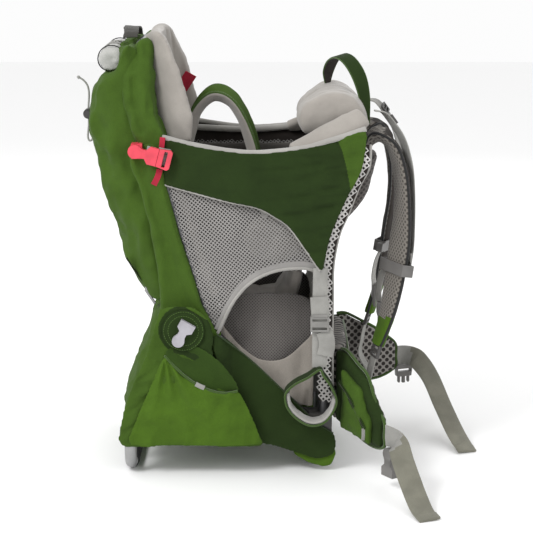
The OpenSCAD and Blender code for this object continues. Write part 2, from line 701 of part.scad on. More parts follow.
// A slider that grips the shoulder strap and carries half of the chest buckle.
slider_frame = frame_of(unit(strap_points[8] - strap_points[7]), strap_ways[7]);
slider_at = (strap_points[7] + strap_points[8]) / 2;
module sternum_slider() {
    w = strap_w + 6;
    t = strap_t + 2.4;
    set_in(slider_frame[0], slider_frame[1], slider_frame[2], slider_at) {
        difference() {
            translate([-w / 2 - 2, -t / 2 - 2, -9]) cube([w + 4, t + 4, 18]);
            translate([-w / 2, -t / 2, -10]) cube([w, t, 20]);
        }
        translate([-w / 2 - 14, -t / 2 - 2, -7]) cube([12.5, 10, 14]);
    }
}
module sternum_slider_right() { color(dark_grey) sternum_slider(); }
module sternum_slider_left() { color(dark_grey) mirror([0, 1, 0]) sternum_slider(); }

// ---------- hip belt ----------
// A wing is drawn pointing forwards and then turned about its round root.
hip_out_right = -56;
hip_out_left = 20;
module hip_wing(droop) {
    h0 = sz(74);
    outline = [[0, h0], [0, h0 + hip_h], [20, h0 + hip_h], [hip_l * 0.65, h0 + hip_h - 28],
        [hip_l, h0 + hip_h - 58 - droop], [hip_l, h0 + 10 - droop],
        [hip_l * 0.7, h0 - 2 - droop * 0.6], [20, h0 - 2]];
    slab(outline, -hip_t / 2, hip_t / 2);
    translate([0, 0, h0 + 3]) cylinder(h = hip_h - 6, r = root_r);
}
module hip_right() {
    translate([hip_root[0], -hip_root[1], 0]) rotate([0, 0, hip_out_right]) children();
}
module hip_left() {
    translate([hip_root[0], hip_root[1], 0]) rotate([0, 0, hip_out_left]) children();
}

hip_droop = 26;
module hip_wing_right() { color(green) hip_right() hip_wing(hip_droop); }
module hip_wing_left() { color(green) hip_left() hip_wing(0); }

pocket_t = 11;
module hip_pocket(droop, outside) {
    h0 = sz(74);
    outline = [[26, h0 + 8 - droop * 0.4], [26, h0 + hip_h - 24], [hip_l * 0.62, h0 + hip_h - 44],
        [hip_l * 0.86, h0 + hip_h - 62 - droop], [hip_l * 0.86, h0 + 14 - droop]];
    y0 = hip_t / 2 + fit;
    slab(outline, outside > 0 ? y0 : -y0 - pocket_t, outside > 0 ? y0 + pocket_t : -y0);
}
module hip_pocket_right() { color(bright_green) hip_right() hip_pocket(hip_droop, -1); }
module hip_pocket_left() { color(bright_green) hip_left() hip_pocket(0, 1); }

hip_strap_z = sz(74) + 32;
// The right webbing leaves the wing, turns flat and runs down to the floor.
module hip_webbing_right() {
    z = hip_strap_z - hip_droop;
    points = [[0.5, 0, z], [28, 0, z], [42, -5, z - 6], [62, -12, z - 24], [88, -19, z - 46],
        [112, -26, z - 63], [132, -32, z - 73], [154, -37, 3]];
    ways = [[0, 0, 1], [0, 0, 1], [0.3, 0.7, 0.7], [0.5, 0.8, 0.3], [0.56, 0.83, 0.1],
        [0.56, 0.83, 0.05], [0.56, 0.83, 0], [0.56, 0.83, 0]];
    color(cool_grey) hip_right()
        sweep([for (q = points) q + [hip_l, 0, 0]], ways, flat(hip_web, web_t));
}

module hip_webbing_left() {
    z = hip_strap_z;
    points = [[0.5, 0, z], [14, 0, z], [26, -12, z - 1], [29, -32, z - 4], [30, -77, z - 22],
        [28, -130, z - 56], [27, -181, z - 87], [26, -221, 3.5]];
    ways = [[0, 0, 1], [0, 0, 1], [0.35, 0.35, 1], [1, 0.2, 0.7], [1, 0.3, 0.25],
        [1, 0.25, 0.15], [1, 0.2, 0.1], [1, 0.2, 0]];
    color(cool_grey) hip_left()
        sweep([for (q = points) q + [hip_l, 0, 0]], ways, flat(hip_web, web_t));
}

// The wide buckle's two halves, open; each hangs from the edge of its own webbing.
hip_buckle_t = 10;
hip_buckle_x = hip_l + 14.5;
function hang(z) = z - hip_web / 2 - 0.5;
module hip_buckle_socket() {
    color(dark_grey) hip_right() translate([hip_buckle_x, 0, hang(hip_strap_z - hip_droop)])
        rotate([90, 0, 0]) rotate([0, 0, -90]) socket(1, hip_buckle_t);
}
module hip_buckle_plug() {
    color(dark_grey) hip_left() translate([hip_buckle_x + 1.5, 0, hang(hip_strap_z) - 64.4])
        rotate([90, 0, 0]) rotate([0, 0, 90]) plug(1, hip_buckle_t);
}

// ---------- stirrups ----------
// Each stirrup swings on a round bar just under the wing's lower tip.
stirrup_bar = 4;
stirrup_y = 148.3 + spread;
stirrup_top = sz(292) - stirrup_bar - gap;
loop_w = 26;
loop_y = band_y + band_t + 0.7 + loop_w / 2;
module stirrup() {
    x0 = sx(-8);
    foot = sz(170);
    translate([x0, -stirrup_y, stirrup_top]) rotate([90, 0, 0])
        cylinder(h = 9, r = stirrup_bar, center = true);
    translate([x0 - thin_web / 2, -stirrup_y - web_t / 2, foot - 3])
        cube([thin_web, web_t, stirrup_top - foot + 3]);
    loop = [[0, 0], [-17, -12], [-39, -24], [-53, -40], [-49, -62], [-33, -80], [-13, -90],
        [7, -86], [21, -70], [27, -50], [19, -28], [7, -10]];
    inner = [[1, -5], [5, -13], [16, -29], [23.5, -50], [18, -68], [6, -82.5], [-13, -86.5],
        [-31, -77], [-46, -60], [-49.5, -41], [-37, -27], [-15, -15.5], [-2, -5]];
    translate([x0, 0, foot]) difference() {
        slab(loop, -loop_y - loop_w / 2, -loop_y + loop_w / 2);
        slab(inner, -loop_y - loop_w, -loop_y + loop_w);
    }
    translate([x0, -stirrup_y - web_t / 2 - 2 - fit, sz(235)]) rotate([90, 90, 0])
        ladder_lock(thin_web, 24, 4);
}
module stirrup_right() { color(cool_grey) stirrup(); }
module stirrup_left() { color(cool_grey) mirror([0, 1, 0]) stirrup(); }

// ---------- drawcord, cord lock and zip ----------
cord_y = -60;
cord_x = sx(-342);
cord_line = [[-2.1, 0, 515], [-5, 0, 506], [-8, 0, 498], [-12, 0, 497], [-14, 0, 503],
    [-13, 0, 514], [-12, 0, 526], [-12, 0, 538], [-12, 0, 550], [-11, 0, 562],
    [-11, -1, 572], [-13, -3, 581], [-18, -5, 588], [-25, -7, 593]];
lock_z = sz(538);
function cord_points() = [for (q = cord_line) [cord_x + q[0], cord_y + q[1], lock_z + q[2] - 538]];
module rear_cord() {
    color("#a9ac9c") sweep(cord_points(), [0, 1, 0], ring(cord_d / 2, 8));
}

lock_x = cord_x - 12;
press = 3.5;
module cord_lock_barrel() {
    color(dark_grey) translate([lock_x, cord_y, lock_z]) difference() {
        rotate([-90, 0, 0]) translate([0, 0, -8]) cylinder(h = 20, r = lock_d / 2);
        rotate([-90, 0, 0]) translate([0, 0, -9]) cylinder(h = 18, r = lock_d / 2 - 2);
        translate([0, 0, -10]) cylinder(h = 20, r = cord_d / 2 + 0.4);
    }
}
module cord_lock_button() {
    color(dark_grey) translate([lock_x, cord_y, lock_z]) difference() {
        rotate([-90, 0, 0]) translate([0, 0, -13]) cylinder(h = 18, r = lock_d / 2 - 2.3);
        translate([-cord_d / 2 - 0.4, -cord_d / 2 - 0.5 - press, -10])
            cube([cord_d + 0.8, cord_d + 1 + press, 20]);
    }
}

zip_from = side([[-252, 262]])[0];
zip_to = side([[-292, 322]])[0];
module rear_zip_slider() {
    mid = zip_from + (zip_to - zip_from) * 0.27;
    lean = atan2(zip_to[0] - zip_from[0], zip_to[1] - zip_from[1]);
    color(metal) translate([mid[0], -100, mid[1]]) rotate([0, lean, 0]) {
        translate([-5.5, -5, -6]) cube([5.5 - fit, 10, 12]);
        translate([-9, -2.5, -24]) cube([3.5, 5, 26]);
    }
}

front_frame();
seat_frame();
cockpit_rails();
frame_clamps();
hinge_brackets();
hinge_pins();
base_guard();
rear_bag();
lower_bag();
side_pockets();
side_bands();
hinge_patches();
patch_buckles();
mesh_windows();
side_wing_right();
side_wing_left();
seat_back();
headrest();
drool_pad();
front_wall();
back_panel();
lumbar_pad();
sunshade_roll();
rear_handle();
buckle_socket_right();
buckle_socket_left();
rear_cord();
cord_lock_barrel();
cord_lock_button();
child_strap_right();
child_strap_left();
chest_buckle();
front_handle();
kickstand_tube();
kickstand_foot();
seat_saddle();
seat_sling();
harness_yoke();
shoulder_strap_right();
shoulder_strap_left();
load_lifter_right();
load_lifter_left();
harness_locks();
adjuster_webbing_right();
adjuster_webbing_left();
sternum_slider_right();
sternum_slider_left();
hip_wing_right();
hip_pocket_right();
hip_webbing_right();
hip_buckle_socket();
hip_wing_left();
hip_pocket_left();
hip_webbing_left();
hip_buckle_plug();
stirrup_right();
stirrup_left();
buckle_plug_right();
buckle_plug_left();
rear_zip_slider();
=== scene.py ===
import math

import bpy
import numpy as np
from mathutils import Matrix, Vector, noise


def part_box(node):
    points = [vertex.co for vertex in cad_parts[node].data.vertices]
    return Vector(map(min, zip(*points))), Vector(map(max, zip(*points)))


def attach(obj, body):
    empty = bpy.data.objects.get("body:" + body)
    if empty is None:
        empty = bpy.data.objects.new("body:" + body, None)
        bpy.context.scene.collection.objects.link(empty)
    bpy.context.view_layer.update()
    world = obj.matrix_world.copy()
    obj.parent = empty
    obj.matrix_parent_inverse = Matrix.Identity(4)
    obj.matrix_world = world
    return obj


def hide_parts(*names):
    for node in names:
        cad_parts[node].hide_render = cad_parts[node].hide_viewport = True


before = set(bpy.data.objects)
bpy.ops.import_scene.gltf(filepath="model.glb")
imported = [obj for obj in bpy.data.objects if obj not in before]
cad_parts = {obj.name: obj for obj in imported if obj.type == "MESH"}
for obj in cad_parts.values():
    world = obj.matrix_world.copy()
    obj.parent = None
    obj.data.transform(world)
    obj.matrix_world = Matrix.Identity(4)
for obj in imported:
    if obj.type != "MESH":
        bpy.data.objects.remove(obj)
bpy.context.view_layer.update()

MM = 0.001
NEAR, FAR = -1, 1       # the right side of the pack is at -Y, the left side at +Y

# ---------- camera, floor and light ----------
LIFT = math.radians(12)
AWAY = 2.6
TARGET = Vector((-0.087, 0, 0.290))


def set_camera():
    """A long lens at the pack's right side, a little above it."""
    camera = bpy.data.objects.new("Camera", bpy.data.cameras.new("Camera"))
    bpy.context.scene.collection.objects.link(camera)
    camera.data.lens = 112
    back = Vector((0, -math.cos(LIFT), math.sin(LIFT)))
    camera.location = TARGET + back * AWAY
    camera.rotation_euler = (-back).to_track_quat("-Z", "Y").to_euler()
    bpy.context.scene.camera = camera


def set_lamp(name, place, size, watts):
    """A soft square lamp that looks at the middle of the pack."""
    lamp = bpy.data.objects.new(name, bpy.data.lights.new(name, "AREA"))
    bpy.context.scene.collection.objects.link(lamp)
    lamp.data.size = size
    lamp.data.energy = watts
    lamp.location = place
    lamp.rotation_euler = (TARGET - Vector(place)).to_track_quat("-Z", "Y").to_euler()


def set_studio():
    """A pale floor under an even white sky, with three large lamps."""
    bpy.ops.mesh.primitive_plane_add(size=14)
    floor = bpy.context.object
    floor.name = "floor"
    paint = bpy.data.materials.new("pale_floor")
    paint.use_nodes = True
    shader = paint.node_tree.nodes["Principled BSDF"]
    shader.inputs["Base Color"].default_value = (0.93, 0.93, 0.93, 1)
    shader.inputs["Roughness"].default_value = 0.9
    floor.data.materials.append(paint)
    world = bpy.data.worlds.new("studio")
    world.use_nodes = True
    world.node_tree.nodes["Background"].inputs["Color"].default_value = (1, 1, 1, 1)
    world.node_tree.nodes["Background"].inputs["Strength"].default_value = 0.98
    bpy.context.scene.world = world
    set_lamp("key_lamp", (-1.6, -1.8, 2.4), 0.9, 52)
    set_lamp("fill_lamp", (2.2, -1.4, 1.2), 2.0, 9)
    set_lamp("back_lamp", (0.3, 2.2, 1.8), 1.8, 12)
    bpy.context.scene.view_settings.view_transform = "Standard"


# ---------- finishes ----------
WAVE = 0.3142           # metres between a wave texture's crests at scale 1


def node(tree, kind, *feeds, **settings):
    """Adds a shader node; a feed is an input's name with a value or another node's output."""
    made = tree.nodes.new("ShaderNode" + kind)
    for key, value in settings.items():
        setattr(made, key, value)
    for key, value in feeds:
        if isinstance(value, bpy.types.NodeSocket):
            tree.links.new(value, made.inputs[key])
        else:
            made.inputs[key].default_value = value
    return made


def begin(name, rough, sheen=0.0, metallic=0.0, coat=0.0, gloss=0.14):
    """A new material with its plain shader numbers set."""
    made = bpy.data.materials.new(name)
    made.use_nodes = True
    shader = made.node_tree.nodes["Principled BSDF"]
    shader.inputs["Roughness"].default_value = rough
    shader.inputs["Metallic"].default_value = metallic
    shader.inputs["Sheen Weight"].default_value = sheen
    shader.inputs["Specular IOR Level"].default_value = gloss
    shader.inputs["Coat Weight"].default_value = coat
    shader.inputs["Coat Roughness"].default_value = 0.25
    return made, made.node_tree, shader


def place(tree, source="Object"):
    return node(tree, "TexCoord").outputs[source]


def sums(tree, a, b, how="ADD"):
    return node(tree, "Math", (0, a), (1, b), operation=how).outputs[0]


def blur(tree, value, low, high, to_low=0.0, to_high=1.0):
    """A smooth step from low to high."""
    return node(tree, "MapRange", ("Value", value), ("From Min", low), ("From Max", high),
                ("To Min", to_low), ("To Max", to_high), interpolation_type="SMOOTHSTEP").outputs[0]


def tint(tree, share, a, b):
    """Mixes two colours."""
    return node(tree, "Mix", (0, share), (6, a), (7, b), data_type="RGBA").outputs[2]


def shade(colour, share):
    return tuple(c * share for c in colour[:3]) + (1,)


def bump(tree, height, strength, depth, below=None):
    feeds = [("Height", height), ("Strength", strength), ("Distance", depth)]
    if below is not None:
        feeds.append(("Normal", below))
    return node(tree, "Bump", *feeds).outputs[0]


def bands(tree, where, pitch, direction):
    return node(tree, "TexWave", ("Vector", where), ("Scale", WAVE / pitch),
                bands_direction=direction).outputs["Fac"]


def speckle(tree, where, scale, detail=2.0):
    return node(tree, "TexNoise", ("Vector", where), ("Scale", scale), ("Detail", detail)).outputs["Fac"]


def cloth(name, colour, thread=0.0011, rough=0.82, sheen=0.03, crumple=0.3, fade=0.13):
    """Plain woven cloth: threads both ways, a soft crumple and uneven dye."""
    made, tree, shader = begin(name, rough, sheen)
    where = place(tree)
    weave = bands(tree, where, thread, "X")
    for direction in "YZ":
        weave = sums(tree, weave, bands(tree, where, thread, direction))
    soft = speckle(tree, where, 26, 4)
    fine = speckle(tree, where, 900, 1)
    ridge = node(tree, "NewGeometry").outputs["Pointiness"]
    dyed = tint(tree, blur(tree, soft, 0.3, 0.7), shade(colour, 1 - fade), shade(colour, 1 + fade * 0.6))
    worn = tint(tree, blur(tree, ridge, 0.52, 0.62, 0, 0.35), dyed, shade(colour, 1.7))
    grain = tint(tree, blur(tree, fine, 0.35, 0.65, 0, 0.3), worn, shade(colour, 0.62))
    tree.links.new(grain, shader.inputs["Base Color"])
    folds = bump(tree, soft, crumple, 0.004)
    tree.links.new(bump(tree, weave, 0.3, 0.0003, folds), shader.inputs["Normal"])
    return made


def brushed(name, colour, nap=1500, rough=0.95):
    """Brushed knit over foam: a short nap with a faint mottle."""
    made, tree, shader = begin(name, rough, 0.35)
    where = place(tree)
    soft = speckle(tree, where, 18, 3)
    fine = speckle(tree, where, nap, 3)
    dyed = tint(tree, blur(tree, soft, 0.3, 0.7), shade(colour, 0.86), shade(colour, 1.1))
    nappy = tint(tree, blur(tree, fine, 0.3, 0.7, 0, 0.35), dyed, shade(colour, 0.66))
    tree.links.new(nappy, shader.inputs["Base Color"])
    folds = bump(tree, soft, 0.25, 0.004)
    tree.links.new(bump(tree, fine, 0.35, 0.0005, folds), shader.inputs["Normal"])
    return made


def holed(name, colour, dark, pitch, size, plane):
    """Padded knit with rows of dark holes; plane says how the rows lie."""
    made, tree, shader = begin(name, 0.9, 0.15)
    where = place(tree, "UV" if plane == "uv" else "Object")
    if plane != "uv":
        axes = node(tree, "SeparateXYZ", ("Vector", where)).outputs
        first, second = {"xz": (0, 2), "yz": (1, 2), "xy": (0, 1)}[plane]
        where = node(tree, "CombineXYZ", ("X", axes[first]), ("Y", axes[second])).outputs[0]
    where = node(tree, "Mapping", ("Vector", where), ("Rotation", (0, 0, math.pi / 4))).outputs[0]
    dots = node(tree, "TexVoronoi", ("Vector", where), ("Scale", 1 / pitch), ("Randomness", 0.0),
                voronoi_dimensions="2D").outputs["Distance"]
    inside = blur(tree, dots, size, size + 0.12, 1, 0)
    fine = speckle(tree, place(tree), 1300, 2)
    yarn = tint(tree, blur(tree, fine, 0.3, 0.7, 0, 0.3), colour, shade(colour, 0.7))
    tree.links.new(tint(tree, inside, yarn, dark), shader.inputs["Base Color"])
    pits = bump(tree, inside, -0.8, 0.0012)
    tree.links.new(bump(tree, fine, 0.3, 0.0004, pits), shader.inputs["Normal"])
    return made


def woven(name, colour, rib=0.0016):
    """Webbing: ribs across and fine threads along the strap's own UV."""
    made, tree, shader = begin(name, 0.7, 0.1)
    where = place(tree, "UV")
    across = bands(tree, where, rib, "X")
    along = bands(tree, where, rib * 0.8, "Y")
    height = sums(tree, across, along)
    soft = speckle(tree, place(tree), 45, 3)
    fine = speckle(tree, place(tree), 1100, 1)
    dyed = tint(tree, blur(tree, soft, 0.3, 0.7), shade(colour, 0.84), shade(colour, 1.08))
    # ribbed is painted shade: the colour darkens in the grooves between the ribs
    ribbed = tint(tree, blur(tree, height, 0.5, 1.5, 0.45, 0), dyed, shade(colour, 0.55))
    grain = tint(tree, blur(tree, fine, 0.35, 0.65, 0, 0.22), ribbed, shade(colour, 0.6))
    tree.links.new(grain, shader.inputs["Base Color"])
    tree.links.new(bump(tree, height, 0.5, 0.0004), shader.inputs["Normal"])
    return made


def moulded(name, colour, rough=0.42, coat=0.0, wear=0.5):
    """Moulded plastic or rubber: a fine grain, uneven gloss and paler edges."""
    made, tree, shader = begin(name, rough, coat=coat, gloss=0.4)
    where = place(tree)
    fine = speckle(tree, where, 1600, 2)
    soft = speckle(tree, where, 60, 3)
    ridge = node(tree, "NewGeometry").outputs["Pointiness"]
    base = tint(tree, blur(tree, soft, 0.3, 0.7), shade(colour, 0.86), shade(colour, 1.08))
    worn = tint(tree, blur(tree, ridge, 0.53, 0.65, 0, wear), base, shade(colour, 1.6))
    tree.links.new(worn, shader.inputs["Base Color"])
    tree.links.new(blur(tree, soft, 0.2, 0.8, rough * 0.8, rough * 1.25), shader.inputs["Roughness"])
    tree.links.new(bump(tree, fine, 0.12, 0.0002), shader.inputs["Normal"])
    return made


def metal(name, colour, rough):
    """Satin tube: faint scuffs and dulled patches."""
    made, tree, shader = begin(name, rough, metallic=0.85)
    where = place(tree)
    soft = speckle(tree, where, 40, 4)
    scuff = speckle(tree, where, 700, 5)
    base = tint(tree, blur(tree, soft, 0.3, 0.7), shade(colour, 0.85), shade(colour, 1.1))
    marked = tint(tree, blur(tree, scuff, 0.62, 0.7, 0, 0.4), base, shade(colour, 0.5))
    tree.links.new(marked, shader.inputs["Base Color"])
    tree.links.new(blur(tree, soft, 0.2, 0.8, rough * 0.75, rough * 1.3), shader.inputs["Roughness"])
    tree.links.new(bump(tree, scuff, 0.1, 0.0002), shader.inputs["Normal"])
    return made


GREEN = (0.046, 0.092, 0.010, 1)
DEEP_GREEN = (0.016, 0.032, 0.0055, 1)
FRESH_GREEN = (0.056, 0.115, 0.0085, 1)
WARM_GREY = (0.315, 0.292, 0.265, 1)
MESH_GREY = (0.27, 0.26, 0.25, 1)
NIGHT = (0.030, 0.025, 0.022, 1)
WEB_GREY = (0.33, 0.325, 0.305, 1)
OLIVE_GREY = (0.215, 0.21, 0.168, 1)
RED = (0.62, 0.045, 0.075, 1)

pack_green = cloth("pack_green", GREEN)
# pocket_shade: painted shade, the darkness inside the stretch pocket's mouth
pocket_shade = cloth("pocket_shade", (0.026, 0.054, 0.007, 1), crumple=0.4)
deep_green = cloth("deep_green", DEEP_GREEN, crumple=0.25)
fresh_green = cloth("fresh_green", FRESH_GREEN, crumple=0.5, thread=0.0014)
lining = cloth("lining", NIGHT, crumple=0.3)
satin = cloth("satin", (0.275, 0.25, 0.22, 1), thread=0.0009, rough=0.55, sheen=0.1, crumple=0.3, fade=0.1)
fleece = brushed("fleece", WARM_GREY)
# window_shade: painted shade, the dark of the cockpit's inside seen through the mesh windows
window_shade = brushed("window_shade", (0.085, 0.078, 0.072, 1))
binding = brushed("binding", (0.33, 0.32, 0.30, 1), 2200, 0.8)
net_yarn = brushed("net_yarn", MESH_GREY, 2600, 0.8)
white_yarn = brushed("white_yarn", (0.66, 0.64, 0.62, 1), 2600, 0.75)
seat_knit = holed("seat_knit", (0.135, 0.125, 0.118, 1), (0.045, 0.04, 0.037, 1), 0.0034, 0.24, "xz")
strap_knit = holed("strap_knit", (0.19, 0.175, 0.155, 1), (0.06, 0.053, 0.047, 1), 0.0060, 0.26, "uv")
back_knit = holed("back_knit", (0.34, 0.32, 0.30, 1), (0.035, 0.03, 0.028, 1), 0.0085, 0.30, "yz")
hip_knit = holed("hip_knit", (0.25, 0.235, 0.22, 1), (0.022, 0.019, 0.017, 1), 0.0085, 0.33, "yz")
yoke_knit = holed("yoke_knit", (0.12, 0.105, 0.095, 1), (0.03, 0.026, 0.024, 1), 0.0062, 0.28, "xz")
far_hip_knit = holed("far_hip_knit", (0.25, 0.235, 0.22, 1), (0.022, 0.019, 0.017, 1), 0.0085, 0.33, "xz")
black_edge = brushed("black_edge", (0.014, 0.014, 0.014, 1), 2600, 0.7)
green_edge = brushed("green_edge", (0.036, 0.075, 0.009, 1), 2600, 0.7)
deep_edge = brushed("deep_edge", (0.018, 0.036, 0.009, 1), 2600, 0.7)
grey_web = woven("grey_web", WEB_GREY)
olive_web = woven("olive_web", OLIVE_GREY)
dark_web = woven("dark_web", (0.060, 0.058, 0.052, 1))
red_web = woven("red_web", (0.42, 0.02, 0.045, 1))
thread_grey = brushed("thread_grey", (0.30, 0.30, 0.28, 1), 3000, 0.6)
thread_green = brushed("thread_green", (0.10, 0.20, 0.03, 1), 3000, 0.6)
dark_nylon = moulded("dark_nylon", (0.055, 0.052, 0.05, 1))
grey_nylon = moulded("grey_nylon", (0.13, 0.125, 0.12, 1))
pale_nylon = moulded("pale_nylon", (0.34, 0.33, 0.36, 1), 0.38, wear=0.2)
mid_nylon = moulded("mid_nylon", (0.20, 0.195, 0.185, 1), 0.4, wear=0.3)
red_nylon = moulded("red_nylon", RED, 0.32, coat=0.25, wear=0.25)
foot_rubber = moulded("foot_rubber", (0.022, 0.022, 0.022, 1), 0.75)
frame_tube = metal("frame_tube", (0.13, 0.13, 0.135, 1), 0.42)
leg_tube = metal("leg_tube", (0.40, 0.40, 0.40, 1), 0.5)
zinc = metal("zinc", (0.32, 0.32, 0.32, 1), 0.35)
sunshade_cloth = cloth("sunshade_cloth", (0.42, 0.42, 0.40, 1), rough=0.6, crumple=0.4, fade=0.12)


# ---------- shaping ----------
def alone(obj):
    """Makes one object the only selected one."""
    for other in bpy.context.selected_objects:
        other.select_set(False)
    obj.select_set(True)
    bpy.context.view_layer.objects.active = obj


def open_mesh(obj, faces=None):
    """Opens edit mode with the faces that pass a test on their centre and normal."""
    alone(obj)
    mesh = obj.data
    for parts in (mesh.vertices, mesh.edges, mesh.polygons):
        parts.foreach_set("select", [False] * len(parts))
    for f in mesh.polygons:
        f.select = faces is None or faces(f.center, f.normal)
    bpy.context.tool_settings.mesh_select_mode = (False, False, True)
    bpy.ops.object.mode_set(mode="EDIT")


def close_mesh():
    bpy.ops.object.mode_set(mode="OBJECT")


def shaped(obj, kind, **settings):
    """Adds a modifier with these settings and applies it."""
    alone(obj)
    added = obj.modifiers.new(kind.lower(), kind)
    for key, value in settings.items():
        setattr(added, key, value)
    bpy.ops.object.modifier_apply(modifier=added.name)
    return obj


def settle(obj):
    """Puts a piece's place into its mesh, and turns its faces outwards."""
    alone(obj)
    bpy.ops.object.transform_apply(location=True, rotation=True, scale=True)
    open_mesh(obj)
    bpy.ops.mesh.normals_make_consistent(inside=False)
    close_mesh()
    return obj


def points_of(obj):
    co = np.empty(len(obj.data.vertices) * 3, np.float32)
    obj.data.vertices.foreach_get("co", co)
    return co.reshape(-1, 3).astype(float)


def normals_of(obj):
    out = np.empty(len(obj.data.vertices) * 3, np.float32)
    obj.data.vertices.foreach_get("normal", out)
    return out.reshape(-1, 3).astype(float)


def move_points(obj, co):
    obj.data.vertices.foreach_set("co", np.asarray(co, np.float32).ravel())
    obj.data.update()


def smooth_line(points, steps=5, closed=False):
    """Points in metres along a smooth line through points in millimetres."""
    p = np.array(points, float)
    n = len(p)
    out = []
    for i in range(n if closed else n - 1):
        if closed:
            a, b, c, d = p[(i - 1) % n], p[i], p[(i + 1) % n], p[(i + 2) % n]
        else:
            a, b, c, d = p[max(i - 1, 0)], p[i], p[i + 1], p[min(i + 2, n - 1)]
        for k in range(steps):
            t = k / steps
            out.append(0.5 * (2 * b + (c - a) * t + (2 * a - 5 * b + 4 * c - d) * t * t
                              + (3 * b - a - 3 * c + d) * t ** 3))
    if not closed:
        out.append(p[-1])
    return np.array(out) * MM


def slab(name, outline, y0, y1):
    """A flat sheet of a side-view outline in millimetres, pulled out from y0 to y1."""
    bpy.ops.mesh.primitive_circle_add(vertices=len(outline), fill_type="NGON")
    obj = bpy.context.object
    obj.name = name
    for vertex, (x, z) in zip(obj.data.vertices, outline):
        vertex.co = (x * MM, y0 * MM, z * MM)
    open_mesh(obj)
    bpy.ops.mesh.extrude_region_move(TRANSFORM_OT_translate={"value": (0, (y1 - y0) * MM, 0)})
    close_mesh()
    return settle(obj)


def rounded(outline, steps=3):
    """A closed side-view outline in millimetres with its corners smoothed."""
    return smooth_line([(x, 0, z) for x, z in outline], steps, True)[:, [0, 2]] / MM


def solid_of(cad_node, name):
    """A new piece with a CAD node's shape, welded to closed solids."""
    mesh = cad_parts[cad_node].data.copy()
    obj = bpy.data.objects.new(name, mesh)
    mesh.materials.clear()
    bpy.context.scene.collection.objects.link(obj)
    open_mesh(obj)
    bpy.ops.mesh.remove_doubles(threshold=0.00002)
    bpy.ops.mesh.customdata_custom_splitnormals_clear()
    close_mesh()
    return obj


def even(obj, voxel, turns=6, factor=0.5):
    """Gives a closed piece one even skin, and rounds it a little."""
    shaped(obj, "REMESH", mode="VOXEL", voxel_size=voxel * MM)
    if turns:
        shaped(obj, "SMOOTH", factor=factor, iterations=turns)
    return obj


def stuff(obj, cap, pressure=4.0, frames=20):
    """Fills a pad with air by cloth simulation; no point moves more than cap millimetres."""
    before = points_of(obj)
    added = obj.modifiers.new("fill", "CLOTH")
    added.settings.use_pressure = True
    added.settings.uniform_pressure_force = pressure
    added.settings.effector_weights.gravity = 0
    added.settings.quality = 4
    added.point_cache.frame_start = 1
    added.point_cache.frame_end = frames
    for number in range(1, frames + 1):
        bpy.context.scene.frame_set(number)
    filled = obj.evaluated_get(bpy.context.evaluated_depsgraph_get())
    after = points_of(filled)
    step = after - before
    length = np.linalg.norm(step, axis=1)
    share = np.minimum(1, cap * MM / np.maximum(length, 1e-9))
    obj.modifiers.remove(added)
    bpy.context.scene.frame_set(1)
    move_points(obj, before + step * share[:, None])
    shaped(obj, "SMOOTH", factor=0.5, iterations=2)
    return obj


THIN = (0, -1, 0)


def crumple(obj, size, depth, stretch=(1, 1, 1), seed=0, where=None, sharp=False, way=None):
    """Pushes soft folds of a size in and out along a piece's normals, or all one way in a thin cloth."""
    co, out = points_of(obj), normals_of(obj)
    if way is not None:
        out = np.tile(np.array(way, float), (len(co), 1))
    shift = Vector((seed * 3.1, seed * 1.7, seed * 2.3))
    for i, p in enumerate(co):
        at = Vector((p[0] * stretch[0], p[1] * stretch[1], p[2] * stretch[2])) / (size * MM) + shift
        h = noise.noise(at) + 0.5 * noise.noise(at * 2.1)
        if sharp:
            h = 0.35 - abs(h) * 1.6
        if where is not None:
            h *= where(p / MM)
        co[i] = p + out[i] * h * depth * MM
    move_points(obj, co)
    return obj


def sink(obj, line, width, depth, side=None, way=None):
    """Presses a seam into a piece along a line in metres; side keeps it to one side."""
    co, out = points_of(obj), normals_of(obj)
    if way is not None:
        out = np.tile(np.array(way, float), (len(co), 1))
    near = np.full(len(co), 1e9)
    for a, b in zip(line[:-1], line[1:]):
        d = b - a
        t = np.clip(((co - a) @ d) / max(d @ d, 1e-12), 0, 1)
        near = np.minimum(near, np.linalg.norm(co - a - t[:, None] * d, axis=1))
    amount = np.exp(-(near / (width * MM)) ** 2) * depth * MM
    if side is not None:
        amount[co[:, 1] * side < 0] = 0
    move_points(obj, co - out * amount[:, None])
    return obj


def smooth_skin(obj, levels=1):
    return shaped(obj, "SUBSURF", levels=levels, render_levels=levels)


def mesh_piece(name, verts, faces):
    mesh = bpy.data.meshes.new(name)
    mesh.from_pydata([tuple(v) for v in verts], [], [tuple(f) for f in faces])
    obj = bpy.data.objects.new(name, mesh)
    bpy.context.scene.collection.objects.link(obj)
    return obj


def unit(v):
    return v / max(np.linalg.norm(v), 1e-12)


FLAT = [(-1, -0.5), (-0.94, -1), (-0.4, -1), (0.4, -1), (0.94, -1), (1, -0.5),
        (1, 0.5), (0.94, 1), (0.4, 1), (-0.4, 1), (-0.94, 1), (-1, 0.5)]
PAD = [(math.copysign(abs(math.cos(a)) ** 0.55, math.cos(a)),
        math.copysign(abs(math.sin(a)) ** 0.8, math.sin(a)))
       for a in [2 * math.pi * k / 20 for k in range(20)]]


